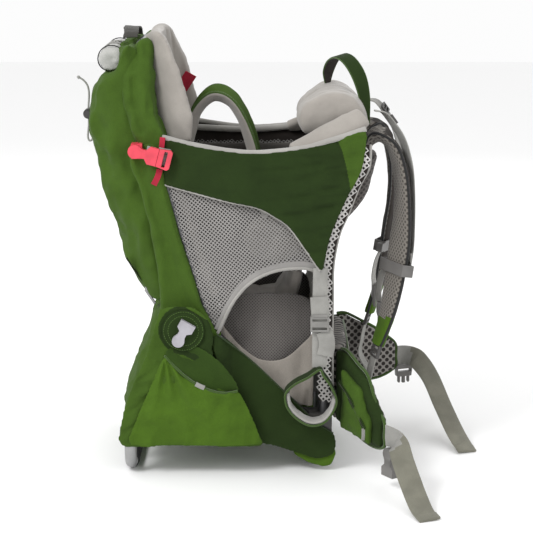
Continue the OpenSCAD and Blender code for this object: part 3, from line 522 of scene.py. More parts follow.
def strap(name, points, ways, width, thick, section=FLAT, grow=None, steps=5, closed=False):
    """A strap along points in millimetres, with UVs in metres along and across it."""
    line = smooth_line(points, steps, closed)
    n = len(line)
    if isinstance(ways[0], (int, float)):
        ways = [ways] * len(points)
    ways = smooth_line(ways, steps, closed)
    grow = np.interp(np.linspace(0, 1, n), np.linspace(0, 1, len(grow)), grow) if grow else np.ones(n)
    verts, uvs, along = [], [], 0.0
    for i in range(n):
        back = line[(i - 1) % n] if closed else line[max(i - 1, 0)]
        ahead = line[(i + 1) % n] if closed else line[min(i + 1, n - 1)]
        u = unit(ahead - back)
        t = unit(np.cross(u, ways[i]))
        w = unit(np.cross(t, u))
        if i:
            along += np.linalg.norm(line[i] - line[i - 1])
        for a, b in section:
            verts.append(line[i] + w * a * width * grow[i] * MM / 2 + t * b * thick * MM / 2)
            uvs.append((along, a * width * MM / 2))
    m = len(section)
    faces = []
    for i in range(n if closed else n - 1):
        for j in range(m):
            k = (j + 1) % m
            q = (i + 1) % n
            faces.append((i * m + j, q * m + j, q * m + k, i * m + k))
    if not closed:
        faces.append(tuple(range(m)))
        faces.append(tuple((n - 1) * m + j for j in reversed(range(m))))
    obj = mesh_piece(name, verts, faces)
    layer = obj.data.uv_layers.new(name="strap")
    for loop in obj.data.loops:
        layer.data[loop.index].uv = uvs[loop.vertex_index]
    return settle(obj)


def piping(name, line, radius, sides=8, closed=False):
    """A round edge or cord along points in metres."""
    curve = bpy.data.curves.new(name, "CURVE")
    curve.dimensions = "3D"
    curve.bevel_depth = radius * MM
    curve.bevel_resolution = max(0, sides // 4 - 1)
    curve.use_fill_caps = not closed
    spline = curve.splines.new("POLY")
    spline.points.add(len(line) - 1)
    for point, at in zip(spline.points, line):
        point.co = (*at, 1)
    spline.use_cyclic_u = closed
    obj = bpy.data.objects.new(name, curve)
    bpy.context.scene.collection.objects.link(obj)
    alone(obj)
    bpy.ops.object.convert(target="MESH")
    return settle(bpy.context.object)


def stitches(name, line, out, pitch=3.4, long=2.2, radius=0.32):
    """A row of raised stitches along a line in metres, on the side that out points to."""
    spans = np.linalg.norm(np.diff(line, axis=0), axis=1)
    total = np.concatenate([[0], np.cumsum(spans)])
    out = np.array(out, float)
    verts, faces = [], []
    at = pitch * MM / 2
    while at < total[-1] - pitch * MM / 2:
        ends = [np.array([np.interp(at + s * long * MM / 2, total, line[:, k]) for k in range(3)])
                for s in (-1, 1)]
        u = unit(ends[1] - ends[0])
        w = unit(np.cross(u, out))
        base = len(verts)
        for end, share in ((ends[0], 0.35), ((ends[0] + ends[1]) / 2, 1), (ends[1], 0.35)):
            for a in range(6):
                turn = math.pi * a / 3
                verts.append(end + (w * math.cos(turn) + out * math.sin(turn)) * radius * MM * share
                             + out * radius * MM * share * 0.4)
        for ring in (0, 6):
            for a in range(6):
                b = (a + 1) % 6
                faces.append((base + ring + a, base + ring + b, base + ring + 6 + b, base + ring + 6 + a))
        faces.append(tuple(base + a for a in reversed(range(6))))
        faces.append(tuple(base + 12 + a for a in range(6)))
        at += pitch * MM
    return settle(mesh_piece(name, verts, faces))


def inside(outline, x, z):
    """True where a point lies in a closed outline."""
    hit = False
    for (x0, z0), (x1, z1) in zip(outline, np.roll(outline, -1, axis=0)):
        if (z0 > z) != (z1 > z) and x < (x1 - x0) * (z - z0) / (z1 - z0) + x0:
            hit = not hit
    return hit


def net(name, outline, cell, thread, thick, side, depth_at, turn=45.0, squeeze=1.0):
    """Knitted mesh with real holes over a side-view outline in metres."""
    low, high = outline.min(0), outline.max(0)
    middle = (low + high) / 2
    reach = np.linalg.norm(high - low) / 2 * 1.1
    count = int(2 * reach / (cell * MM))
    bpy.ops.mesh.primitive_grid_add(x_subdivisions=count, y_subdivisions=int(count / squeeze), size=2 * reach)
    obj = bpy.context.object
    obj.name = name
    c, s = math.cos(math.radians(turn)), math.sin(math.radians(turn))
    co = points_of(obj)
    flat_x = co[:, 0] * c - co[:, 1] * s + middle[0]
    flat_z = co[:, 0] * s + co[:, 1] * c + middle[1]
    co[:, 0], co[:, 1], co[:, 2] = flat_x, 0, flat_z
    move_points(obj, co)
    open_mesh(obj, lambda f, n: not inside(outline, f.x, f.z))
    bpy.ops.mesh.delete(type="FACE")
    bpy.ops.mesh.select_all(action="SELECT")
    bpy.ops.mesh.inset(thickness=thread * MM / 2, use_individual=True)
    bpy.ops.mesh.delete(type="FACE")
    close_mesh()
    co = points_of(obj)
    co[:, 1] = side * np.array([depth_at(x / MM, z / MM) for x, z in co[:, [0, 2]]]) * MM
    move_points(obj, co)
    shaped(obj, "SOLIDIFY", thickness=thick * MM, offset=0)
    return settle(obj)


def joined(name, pieces):
    """Several meshes as one piece."""
    alone(pieces[0])
    for piece in pieces[1:]:
        piece.select_set(True)
    bpy.ops.object.join()
    pieces[0].name = name
    return pieces[0]


def other_side(obj, name):
    """A mirrored copy with its own mesh, on the other side of the pack."""
    twin = obj.copy()
    twin.data = obj.data.copy()
    twin.name = name
    bpy.context.scene.collection.objects.link(twin)
    co = points_of(twin)
    co[:, 1] *= -1
    move_points(twin, co)
    twin.data.flip_normals()
    return twin


def paint(obj, material, test=None):
    """Gives a piece a material, or the faces that pass a test on centre and normal."""
    mesh = obj.data
    if test is None:
        mesh.materials.clear()
        mesh.materials.append(material)
        return obj
    mesh.materials.append(material)
    slot = len(mesh.materials) - 1
    for f in mesh.polygons:
        if test(f.center / MM, f.normal):
            f.material_index = slot
    return obj


def keep(obj, body, slot, material, *nodes, angle=50):
    """Finishes a piece: its material, smooth shading, body and the nodes it stands for; slot is not used."""
    if material is not None:
        paint(obj, material)
    alone(obj)
    bpy.ops.object.shade_smooth_by_angle(angle=math.radians(angle))
    if nodes:
        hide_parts(*nodes)
    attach(obj, body)
    return obj


def both(build, stem, body, slot, material, *nodes, **more):
    """Builds a piece on the near side and mirrors it; a name or node ending in * gets its side."""
    near = build(stem + "_right")
    far = other_side(near, stem + "_left")
    for obj, word in ((near, "right"), (far, "left")):
        named = [n.replace("*", word) for n in nodes]
        if nodes and "*" not in nodes[0] and word == "left":
            named = []
        keep(obj, body.replace("*", word), slot, material, *named, **more)
    return near, far


# ---------- places taken from the frame, in millimetres ----------
def edge(cad_node, axis, high):
    """The lowest or highest value of a CAD node's box along an axis."""
    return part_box(cad_node)[1 if high else 0]["xyz".index(axis)] / MM


MESH_OUT = edge("mesh_windows", "y", True)
BAND_OUT = edge("side_bands", "y", True)
FLAP_OUT = edge("hinge_patches", "y", True)
WING_X = [-244, -215, -111, -20, 30, 66]
WING_Y = [137, 143, 150, 149, 143, 134]
HINGE = (-210, 228)


def wing_y(x):
    return np.interp(x, WING_X, WING_Y)


def on_side(points, side, y):
    """Side-view points in millimetres as places in metres at a distance from the middle."""
    return [(x, side * (y(x) if callable(y) else y), z) for x, z in points]


# ---------- cockpit ----------
WING_TOP = [(-239, 512), (-184, 500), (-111, 491), (-38, 497), (5, 508), (58, 524)]
WING_LOW = [(-8, 315), (-30, 348), (-54, 381), (-76, 397), (-101, 410), (-140, 418), (-184, 429), (-239, 443)]
WING_FRONT = [(60, 512), (57, 486), (51, 460), (35, 430), (20, 398), (8, 368), (1, 338), (-3, 316)]


def side_wing(name):
    outline = np.concatenate([smooth_line(WING_TOP), smooth_line(WING_FRONT), smooth_line(WING_LOW)]) / MM
    obj = even(slab(name, outline, -2.6, 2.6), 2.3, 3)
    co = points_of(obj)
    swell = np.array([0.8 + 1.6 * math.exp(-((x / MM + 90) / 90) ** 2) for x in co[:, 0]])
    co[:, 1] = -np.array([wing_y(x / MM) for x in co[:, 0]]) * MM - 0.0018 + co[:, 1] * swell
    move_points(obj, co)
    crumple(obj, 34, 4.0, (0.35, 1, 1.6), 3, lambda p: min(1, max(0.15, (p[0] + 60) / 70)), way=THIN)
    crumple(obj, 11, 0.6, (0.4, 1, 1), 5, way=THIN)
    crumple(obj, 40, 2.6, (0.4, 1, 1.7), 7, lambda p: min(1, max(0.1, (p[0] + 110) / 70)), True, THIN)
    for line in (smooth_line(on_side([(-236, 449), (-184, 436), (-140, 425), (-101, 417), (-72, 403),
                                      (-46, 380), (-12, 326)], NEAR, lambda x: wing_y(x) + 3)),
                 smooth_line(on_side([(14, 514), (23, 494), (30, 468), (34, 440)], NEAR,
                                     lambda x: wing_y(x) + 3))):
        sink(obj, line, 2.2, 2.0, way=THIN)
    for fold in ([(-104, 463), (-53, 467), (-10, 474)], [(-94, 446), (-38, 452), (26, 470)],
                 [(-80, 421), (-31, 427), (20, 442)], [(-56, 398), (-20, 404), (10, 411)],
                 [(-40, 375), (-18, 375), (2, 380)]):
        sink(obj, smooth_line(on_side(fold, NEAR, lambda x: wing_y(x) + 3)), 5, 3.6, way=THIN)
    return smooth_skin(obj)


def wing_rim(name):
    """The pale lining that rolls over the wing's upper edge."""
    line = smooth_line(on_side(WING_TOP, NEAR, lambda x: wing_y(x) + 1.2), 8)
    return crumple(piping(name, line, 4.2, 16), 9, 0.5, seed=2)


def wing_binding(name):
    line = smooth_line(on_side(WING_LOW, NEAR, lambda x: wing_y(x) + 2.2), 8)
    return piping(name, line, 1.9)


def cockpit():
    near, far = both(side_wing, "wing_cloth", "pack", "dark_green_fabric", deep_green, "side_wing_*")
    for obj, side in ((near, NEAR), (far, FAR)):
        paint(obj, lining, lambda c, n, s=side: n[1] * s < -0.35)
        paint(obj, pack_green, lambda c, n, s=side: n[1] * s > 0 and c[2] > 436
              and c[0] > np.interp(c[2], [436, 468, 494, 514], [36, 30, 23, 14]))
    both(wing_rim, "wing_rim", "pack", "grey_fabric", binding)
    both(wing_binding, "wing_binding", "pack", "grey_fabric", binding)


MESH_EDGE = [(-240, 470), (-229, 435), (-207, 352), (-179, 261), (-163, 226), (-158, 219),
             (-138, 264), (-111, 295), (-74, 313), (-30, 317), (-4, 308), (0, 340), (14, 395), (24, 440),
             (26, 470)]
ARCH = [(-160, 218), (-138, 264), (-111, 295), (-74, 313), (-30, 317), (-4, 308)]


def window_y(x, z):
    """The mesh bellies out a little in its middle."""
    return MESH_OUT - 1 + 6 * math.exp(-((x + 110) / 60) ** 2 - ((z - 370) / 50) ** 2)


def mesh_window(name):
    return net(name, np.array(MESH_EDGE) * MM, 4.2, 1.6, 0.9, NEAR, window_y, turn=52)


def arch_piping(name):
    return piping(name, smooth_line(on_side(ARCH, NEAR, MESH_OUT + 0.6), 8), 2.6)


def arch_tape(name):
    """The flat tape under the window's arch."""
    line = [(x, -MESH_OUT, z + 5) for x, z in ARCH]
    return strap(name, line, [0, 0, 1], 11, 1.6)


def window_lining(name):
    """The padded sheet that shows through the net, dark as painted shade of the cockpit's inside, with a
    paler pad in its middle.
    """
    outline = [(x * 0.97 - 4, z) for x, z in MESH_EDGE if z > 300]
    outline += [(-60, 322), (-105, 305), (-150, 275), (-166, 240)]
    centre = np.mean(outline, axis=0)
    outline = sorted(outline, key=lambda p: math.atan2(p[1] - centre[1], p[0] - centre[0]))
    obj = even(slab(name, outline, -3, 3), 3.4, 8)
    co = points_of(obj)
    for p in co:
        x, z = p[0] / MM, p[2] / MM
        p[1] -= (MESH_OUT - 14 + 9 * math.exp(-((x + 75) / 40) ** 2 - ((z - 362) / 32) ** 2)) * MM
    move_points(obj, co)
    return crumple(obj, 34, 2.2, seed=35)


def windows():
    near, far = both(window_lining, "window_lining", "pack", "grey_fabric", window_shade)
    for obj in (near, far):
        paint(obj, fleece, lambda c, n: math.hypot((c[0] + 75) / 1.25, c[2] - 362) < 36)
    both(mesh_window, "window_net", "pack", "mesh_fabric", net_yarn, "mesh_windows")
    both(arch_piping, "arch_piping", "pack", "grey_fabric", binding)
    both(arch_tape, "arch_tape", "pack", "grey_fabric", net_yarn)
    both(lambda name: strap(name, on_side([(-92, 417), (-91, 405), (-89, 394)], NEAR, MESH_OUT + 2.4),
                            [1, 0, 0], 10, 1.6), "window_tab", "pack", "webbing", grey_web)


def headrest():
    obj = even(solid_of("headrest", "headrest_pad"), 3.4, 10)
    stuff(obj, 4)
    crumple(obj, 60, 2.0, seed=4)
    crumple(obj, 14, 0.5, seed=8)
    smooth_skin(obj)
    keep(obj, "pack", "grey_fabric", fleece, "headrest")


def drool_pad():
    obj = even(solid_of("drool_pad", "drool_pad_cover"), 3.6, 26)
    co = points_of(obj)
    centre = np.array((0.012, 0, 0.530))
    move_points(obj, centre + (co - centre) * (1.08, 1.16, 1.06))
    stuff(obj, 8)
    crumple(obj, 34, 3.0, (1, 0.6, 1), 6)
    crumple(obj, 8, 0.5, seed=9)
    for y in (-60, 0, 60):
        sink(obj, smooth_line([(-36, y, 530), (-20, y, 560), (10, y, 575), (42, y, 564), (60, y, 530)]), 3, 2)
    smooth_skin(obj)
    keep(obj, "pack", "grey_fabric", fleece, "drool_pad")


def collar(name):
    """The padded cloth that slopes from the drool pad to the wing's upper edge."""
    line = [(-52, -140, 494), (-26, -134, 501), (4, -126, 514), (34, -116, 528), (56, -104, 538)]
    obj = strap(name, line, [(0, -0.75, -0.65)] * 5, 40, 15, PAD, [0.35, 0.8, 1, 1, 0.8], 6)
    crumple(obj, 18, 1.4, seed=10)
    return smooth_skin(obj)


def cockpit_walls():
    for obj in both(collar, "collar", "pack", "grey_fabric", fleece):
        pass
    """The dark front wall, the panel on the wearer's side and the pad behind the child."""
    wall = even(solid_of("front_wall", "front_wall_cloth"), 3.2, 4)
    crumple(wall, 30, 1.5, (1, 1.5, 0.5), 11)
    keep(wall, "pack", "dark_fabric", lining, "front_wall")
    back = even(solid_of("seat_back", "seat_back_pad"), 4.5, 8)
    stuff(back, 2)
    for z in (300, 345, 390, 435):
        x = -165 - 80 * (z - 212) / 263 + 26
        sink(back, np.array([(x, -140, z), (x, 140, z)]) * MM, 5, 5)
    crumple(back, 22, 1.0, seed=12)
    smooth_skin(back)
    keep(back, "pack", "grey_fabric", fleece, "seat_back")
    panel = even(solid_of("back_panel", "back_panel_knit"), 3.0, 3)
    crumple(panel, 40, 1.2, seed=13)
    keep(panel, "pack", "mesh_fabric", back_knit, "back_panel")
    lumbar = even(solid_of("lumbar_pad", "lumbar_cushion"), 3.6, 10)
    stuff(lumbar, 5)
    for y in (-48, 0, 48):
        sink(lumbar, np.array([(39, y, 78), (39, y, 184)]) * MM, 4, 5)
    smooth_skin(lumbar)
    keep(lumbar, "pack", "grey_fabric", hip_knit, "lumbar_pad")
    ring = [(37, y, z) for y, z in [(-92, 84), (-40, 76), (40, 76), (92, 84), (98, 130), (92, 178), (40, 188),
                                    (-40, 188), (-92, 178), (-98, 130)]]
    keep(piping("lumbar_piping", smooth_line(ring, 5, True), 1.6, closed=True), "pack", "green_fabric",
         green_edge)


STRIP = [(54, 500), (52, 466), (38, 438), (22, 397), (10, 369), (3, 337), (0, 309), (0, 271), (0, 205),
         (1, 110)]


def edge_net(name):
    """The coarse white net that edges the wearer's panel."""
    centre = smooth_line([(x, 0, z) for x, z in STRIP], 5)[:, [0, 2]]
    half = 0.0085
    left = centre + [-half, 0]
    right = centre + [half, 0]
    outline = np.concatenate([left, right[::-1]])
    return net(name, outline, 6.2, 2.9, 1.3, NEAR,
               lambda x, z: 131 + 4 * math.sin((z - 100) / 420 * math.pi), turn=38)


def edge_backing(name):
    line = [(x + 1, -128.5 - 4 * math.sin((z - 100) / 420 * math.pi), z) for x, z in STRIP]
    return strap(name, line, [1, 0, 0], 20, 1.5)


def panel_edge(name):
    line = [(x + 12, -129, z) for x, z in STRIP]
    return piping(name, smooth_line(line, 6), 2.2)


def wearer_edge():
    both(edge_net, "edge_net", "pack", "mesh_fabric", white_yarn)
    both(edge_backing, "edge_backing", "pack", "dark_fabric", lining)
    both(panel_edge, "panel_edge", "pack", "grey_fabric", binding)


# ---------- bags ----------
def rear_bag():
    obj = even(solid_of("rear_bag", "rear_bag_cloth"), 5.0, 6)
    co = points_of(obj)
    for p in co:
        z = p[2] / MM
        front = np.interp(z, [262, 475, 600, 655], [-196, -262, -283, -285])
        s = min(1, max(0, (front - p[0] / MM) / 75))
        p[1] *= 1 - 0.24 * s * s
    move_points(obj, co)
    stuff(obj, 9)
    crumple(obj, 55, 6.0, (1, 1, 0.45), 21, lambda p: min(1, max(0.25, (-262 - p[0]) / 25)))
    crumple(obj, 24, 2.6, (1, 1, 0.6), 25, lambda p: 0.4 + 0.8 * (p[2] > 480))
    crumple(obj, 46, 5.0, (1, 1, 0.42), 28, sharp=True)
    crumple(obj, 20, 1.6, (1, 1, 0.7), 29, sharp=True)
    crumple(obj, 10, 0.7, seed=27)
    for side in (NEAR, FAR):
        sink(obj, smooth_line([(-280, side * 128, 640), (-287, side * 126, 560), (-285, side * 128, 500),
                               (-288, side * 126, 455), (-268, side * 130, 428), (-256, side * 130, 386),
                               (-245, side * 130, 310), (-236, side * 130, 268)]), 5, 6)
        sink(obj, smooth_line([(-262, side * 132, 640), (-262, side * 132, 560), (-262, side * 132, 500)]),
             3, 3.0)
    sink(obj, smooth_line([(-335, -100, 452), (-322, -110, 447), (-300, -122, 444)]), 3, 4)
    smooth_skin(obj)
    keep(obj, "pack", "green_fabric", pack_green, "rear_bag")
    pocket = [(-332, -88, 486), (-338, -60, 474), (-340, 0, 468), (-338, 60, 474), (-332, 88, 486)]
    keep(piping("pocket_hem", smooth_line(pocket, 6), 2.0), "pack", "dark_green_fabric", deep_edge)


LOBE = [(-282, 640), (-268, 652), (-256, 650), (-252, 634), (-255, 612), (-254, 578), (-250, 546),
        (-240, 524),
        (-231, 504), (-233, 484), (-262, 480), (-276, 500), (-290, 545), (-296, 590), (-293, 622)]


def front_lobe(name):
    """The soft sleeve that covers the frame between the bag and the headrest."""
    obj = even(slab(name, rounded(LOBE), -26, 26), 3.4, 14)
    co = points_of(obj)
    for p in co:
        p[1] -= np.interp(p[2] / MM, [480, 520, 560, 600, 640], [116, 114, 106, 96, 82]) * MM
    move_points(obj, co)
    stuff(obj, 5)
    crumple(obj, 34, 3.6, (1, 1, 0.35), 37)
    crumple(obj, 26, 3.2, (1, 1, 0.4), 36, sharp=True)
    crumple(obj, 12, 1.0, (1, 1, 0.5), 38)
    line = [(-276, 634), (-281, 600), (-279, 560), (-268, 520)]
    sink(obj, smooth_line([(x, -np.interp(z, [480, 560, 600, 640], [142, 132, 122, 108]), z)
                           for x, z in line]), 4, 5)
    return smooth_skin(obj)


def zip_run(name, line, out, wide=9.0, body="pack"):
    """A zip: two tapes' edges and a row of small teeth along a line in metres."""
    tape = strap(name + "_tape", line[::3] / MM, tuple(np.cross(out, line[1] - line[0])), wide, 1.0)
    keep(tape, body, "dark_green_fabric", deep_green)
    teeth = stitches(name + "_teeth", line + np.array(out) * 0.0009, out, 2.2, 1.3, 0.75)
    keep(teeth, body, "zip_metal", dark_nylon)


def side_panel(name):
    """The outer cloth that wraps the frame tube between the bag and the mesh window."""
    outline = [(-246, 505), (-236, 466), (-229, 435), (-207, 352), (-179, 261), (-160, 222), (-150, 214),
               (-175, 190), (-240, 196), (-250, 255), (-252, 300), (-262, 386), (-276, 436), (-286, 470),
               (-288, 500)]
    obj = even(slab(name, outline, -139.5, -124), 3.4, 8)
    co = points_of(obj)
    for p in co:
        x, z = p[0] / MM, p[2] / MM
        tube = -165 - 80 * (z - 212) / 263
        if p[1] < -0.131:
            p[1] -= (0.0045 * math.exp(-((x - tube + 4) / 13) ** 2)
                     - 0.004 * math.exp(-((x - tube + 27) / 6) ** 2))
    move_points(obj, co)
    stuff(obj, 3)
    crumple(obj, 40, 2.2, (1, 1, 0.3), 31)
    crumple(obj, 34, 2.6, (1, 1, 0.3), 32, sharp=True)
    crumple(obj, 12, 0.6, (1, 1, 0.5), 33)
    return smooth_skin(obj)


def side_panels():
    for obj in both(front_lobe, "front_lobe", "pack", "green_fabric", pack_green):
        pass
    near, far = both(side_panel, "side_panel", "pack", "green_fabric", pack_green)


def lower_bag():
    obj = even(solid_of("lower_bag", "lower_bag_cloth"), 5.5, 6)
    stuff(obj, 7)
    crumple(obj, 40, 4.0, (1, 1, 0.5), 41)
    crumple(obj, 34, 3.6, (1, 1, 0.7), 42, sharp=True)
    crumple(obj, 14, 1.0, seed=43)
    keep(obj, "pack", "green_fabric", pack_green, "lower_bag")
    near, far = both(lambda name: even(solid_half("side_pockets", name), 4.5, 6), "inner_pocket",
                     "pack", "green_fabric", pack_green, "side_pockets")


def solid_half(cad_node, name):
    """The near half of a CAD node that has one solid on each side."""
    obj = solid_of(cad_node, name)
    open_mesh(obj, lambda c, n: c.y > 0)
    bpy.ops.mesh.delete(type="FACE")
    close_mesh()
    return obj


FLAP = [(-248, 252), (-238, 262), (-200, 264), (-176, 248), (-166, 222), (-166, 190), (-150, 165),
        (-132, 130), (-118, 95), (-100, 68), (-94, 47), (-140, 46), (-219, 49), (-303, 47), (-305, 86),
        (-291, 134), (-267, 189)]
POCKET_TOP = [(-238, 190), (-222, 172), (-205, 157), (-187, 146), (-168, 138), (-149, 134), (-130, 136)]
POCKET = POCKET_TOP + [(-118, 118), (-104, 84), (-96, 60), (-97, 50), (-160, 48), (-219, 50), (-291, 50),
                       (-284, 86), (-264, 134)]


def flap_y(x):
    """How far out the flap lies; its front edge comes in to the front band."""
    return FLAP_OUT - 4.5 - 7 * min(1, max(0, (x + 150) / 60)) ** 1.5


def side_flap(name):
    obj = even(slab(name, rounded(FLAP), -2.2, 2.2), 2.6, 3)
    co = points_of(obj)
    for p in co:
        x, z = p[0] / MM, p[2] / MM
        p[1] = -flap_y(x) * MM + p[1]
    move_points(obj, co)
    crumple(obj, 38, 3.6, (0.5, 1, 1.3), 51, lambda p: min(1.0, max(0.0, (255 - p[2]) / 30)) * 0.9, way=THIN)
    crumple(obj, 13, 0.9, seed=53)
    crumple(obj, 30, 2.4, (0.6, 1, 1.2), 54, sharp=True, way=THIN)
    for a, b in (((-250, 198), (-218, 214)), ((-278, 150), (-246, 178)), ((-296, 100), (-262, 128)),
                 ((-300, 70), (-275, 92))):
        sink(obj, smooth_line([(a[0], -FLAP_OUT, a[1]), ((a[0] + b[0]) / 2, -FLAP_OUT, (a[1] + b[1]) / 2 - 3),
                               (b[0], -FLAP_OUT, b[1])]), 4, 4, way=THIN)
    return smooth_skin(obj)


def stretch_pocket(name):
    """The open-topped stretch pocket, pulled into folds from its upper rear corner."""
    obj = even(slab(name, smooth_line(POCKET, 3, True) / MM, -1.6, 1.6), 2.4, 3)
    co = points_of(obj)
    for p in co:
        x, z = p[0] / MM, p[2] / MM
        rise = math.exp(-((x + 185) / 62) ** 2 - ((z - 112) / 44) ** 2)
        angle = math.atan2(z - 192, x + 238)
        far_off = math.hypot(x + 238, z - 192)
        fold = (math.sin(angle * 17 + 0.8 * math.sin(far_off / 30)) * math.exp(-far_off / 75)
                * min(1, far_off / 15))
        lip = 3.5 * math.exp(-((x + 175) / 35) ** 2) * min(1, max(0, (z - 95) / 40))
        p[1] = -(flap_y(x) + 3.4 + 6.5 * rise + 4.6 * fold + lip) * MM + p[1]
    move_points(obj, co)
    crumple(obj, 26, 1.8, (1, 1, 1), 61, way=THIN)
    crumple(obj, 40, 2.6, (1.2, 1, 0.5), 62, sharp=True, way=THIN)
    crumple(obj, 9, 0.45, seed=63)
    return smooth_skin(obj)


def pocket_hem(name):
    line = []
    for x, z in POCKET_TOP:
        rise = math.exp(-((x + 185) / 62) ** 2 - ((z - 112) / 44) ** 2)
        lip = 3.5 * math.exp(-((x + 175) / 35) ** 2)
        line.append((x, -(flap_y(x) + 4.4 + 6.5 * rise + lip), z))
    return piping(name, smooth_line(line, 6), 1.9)


def pocket_back(name):
    """The cloth behind the stretch pocket's mouth, darker as painted shade inside the pocket."""
    outline = [(-238, 191), (-226, 204), (-206, 209), (-178, 198), (-150, 174), (-128, 138), (-150, 126),
               (-190, 136), (-222, 164)]
    obj = even(slab(name, smooth_line(outline, 3, True) / MM, -1.2, 1.2), 2.0, 2)
    co = points_of(obj)
    for p in co:
        x, z = p[0] / MM, p[2] / MM
        p[1] = -(flap_y(x) + 2.8 + 1.8 * math.sin((x + z) / 11)) * MM + p[1]
    move_points(obj, co)
    return obj


def hinge_patch(name):
    bpy.ops.mesh.primitive_cylinder_add(vertices=64, radius=0.031, depth=0.003, end_fill_type="NGON",
                                        location=(HINGE[0] * MM, -(FLAP_OUT + 0.4) * MM, HINGE[1] * MM),
                                        rotation=(math.pi / 2, 0, 0))
    obj = bpy.context.object
    obj.name = name
    bpy.ops.object.transform_apply(location=True, rotation=True, scale=True)
    open_mesh(obj, lambda c, n: n.y < -0.9)
    bpy.ops.mesh.inset(thickness=0.0035, depth=0)
    bpy.ops.mesh.inset(thickness=0.0012, depth=-0.0007)
    bpy.ops.mesh.inset(thickness=0.0012, depth=0.0007)
    bpy.ops.mesh.inset(thickness=0.006, depth=0.0003)
    close_mesh()
    shaped(obj, "BEVEL", width=0.0009, segments=3, limit_method="ANGLE", angle_limit=0.5)
    return settle(obj)


def patch_stitches(name):
    rings = []
    for k, r in enumerate((29, 22.5)):
        ring = np.array([(HINGE[0] + r * math.cos(a), -(FLAP_OUT + 2.1), HINGE[1] + r * math.sin(a))
                         for a in np.linspace(0, 2 * math.pi, 60)]) * MM
        rings.append(stitches(f"{name}_{k}", ring, (0, -1, 0), 3.6, 2.3, 0.35))
    return joined(name, rings)


BAND_UP = [(-160, 220), (-112, 178), (-55, 122), (-30, 97), (-14, 80), (14, 62)]
BAND = BAND_UP + [(18, 44), (14, 28), (-10, 21), (-36, 29), (-75, 41), (-98, 47), (-110, 62), (-126, 98),
                  (-150, 150), (-166, 196)]
BAND_X = [-164, -154, -138, 14]
BAND_AT = [FLAP_OUT - 9, FLAP_OUT - 13, BAND_OUT - 1, BAND_OUT - 1]
STIRRUP_REACH = (-142, 52)      # the stirrup swings in front of this x and above this z


def band_folds(p):
    """The band lies nearly flat where the stirrup swings."""
    return 0.12 if p[0] > STIRRUP_REACH[0] and p[2] > STIRRUP_REACH[1] else 1


def front_band(name):
    """The dark band from the hinge to the front foot."""
    obj = even(slab(name, rounded(BAND), -1.2, 1.2), 2.0, 2)
    co = points_of(obj)
    for p in co:
        x = p[0] / MM
        out = np.interp(x, BAND_X, BAND_AT)
        p[1] = -out * MM + p[1]
    move_points(obj, co)
    crumple(obj, 36, 2.2, (0.6, 1, 1.1), 71, band_folds, way=THIN)
    crumple(obj, 30, 1.4, (0.8, 1, 1), 72, band_folds, True, THIN)
    return smooth_skin(obj)


def band_piping(name):
    line = [(x, -np.interp(x, BAND_X, BAND_AT) - 1, z) for x, z in BAND_UP]
    return piping(name, smooth_line(line, 6), 1.2)


def foot_tab(name):
    """The bright patch that covers the frame's front lower corner."""
    outline = [(-46, 30), (-30, 17), (-10, 9), (6, 8), (15, 16), (18, 32), (6, 40), (-20, 38)]
    obj = even(slab(name, rounded(outline), -4, 4), 2.0, 6)
    co = points_of(obj)
    co[:, 1] -= 0.131
    move_points(obj, co)
    return smooth_skin(crumple(obj, 14, 1.2, seed=75))


def lower_sides():
    near, far = both(side_flap, "side_flap", "pack", "green_fabric", pack_green, "hinge_patches")
    for obj in (near, far):
        paint(obj, deep_green, lambda c, n: math.hypot(max(0, abs(c[0] + 180) - 30),
                                                       c[2] - 228 + 0.6 * max(0, c[0] + 210)) < 37)
    both(stretch_pocket, "stretch_pocket", "pack", "bright_green_fabric", fresh_green)
    both(pocket_hem, "pocket_hem_side", "pack", "bright_green_fabric", green_edge)
    both(pocket_back, "pocket_back", "pack", "bright_green_fabric", pocket_shade)
    both(foot_tab, "foot_tab", "pack", "bright_green_fabric", fresh_green)
    both(hinge_patch, "hinge_patch", "pack", "dark_green_fabric", deep_green)
    both(patch_stitches, "patch_stitches", "pack", "green_fabric", thread_green)
    both(front_band, "front_band", "pack", "dark_green_fabric", deep_green, "side_bands")
    both(band_piping, "band_piping", "pack", "dark_green_fabric", deep_edge)
    both(lambda name: strap(name, [(-192, -(FLAP_OUT + 8.5), 149), (-186, -(FLAP_OUT + 9.5), 146),
                                   (-179, -(FLAP_OUT + 9.5), 143)], [0.3, 0, 1], 7, 1.4),
         "pocket_tab", "pack", "webbing", grey_web)
    guard = even(solid_of("base_guard", "base_guard_cloth"), 2.6, 6)
    crumple(guard, 14, 0.7, seed=76)
    keep(guard, "pack", "dark_green_fabric", fresh_green, "base_guard")


# ---------- child's seat and harness ----------
def child_seat():
    saddle = even(solid_of("seat_saddle", "seat_saddle_pad"), 3.6, 10)
    stuff(saddle, 5)
    crumple(saddle, 26, 1.6, seed=81)
    smooth_skin(saddle)
    keep(saddle, "child_seat", "grey_fabric", fleece, "seat_saddle")
    sling = even(solid_of("seat_sling", "seat_sling_cloth"), 1.6, 2)
    crumple(sling, 30, 2.0, seed=83)
    keep(sling, "child_seat", "mesh_fabric", seat_knit, "seat_sling")


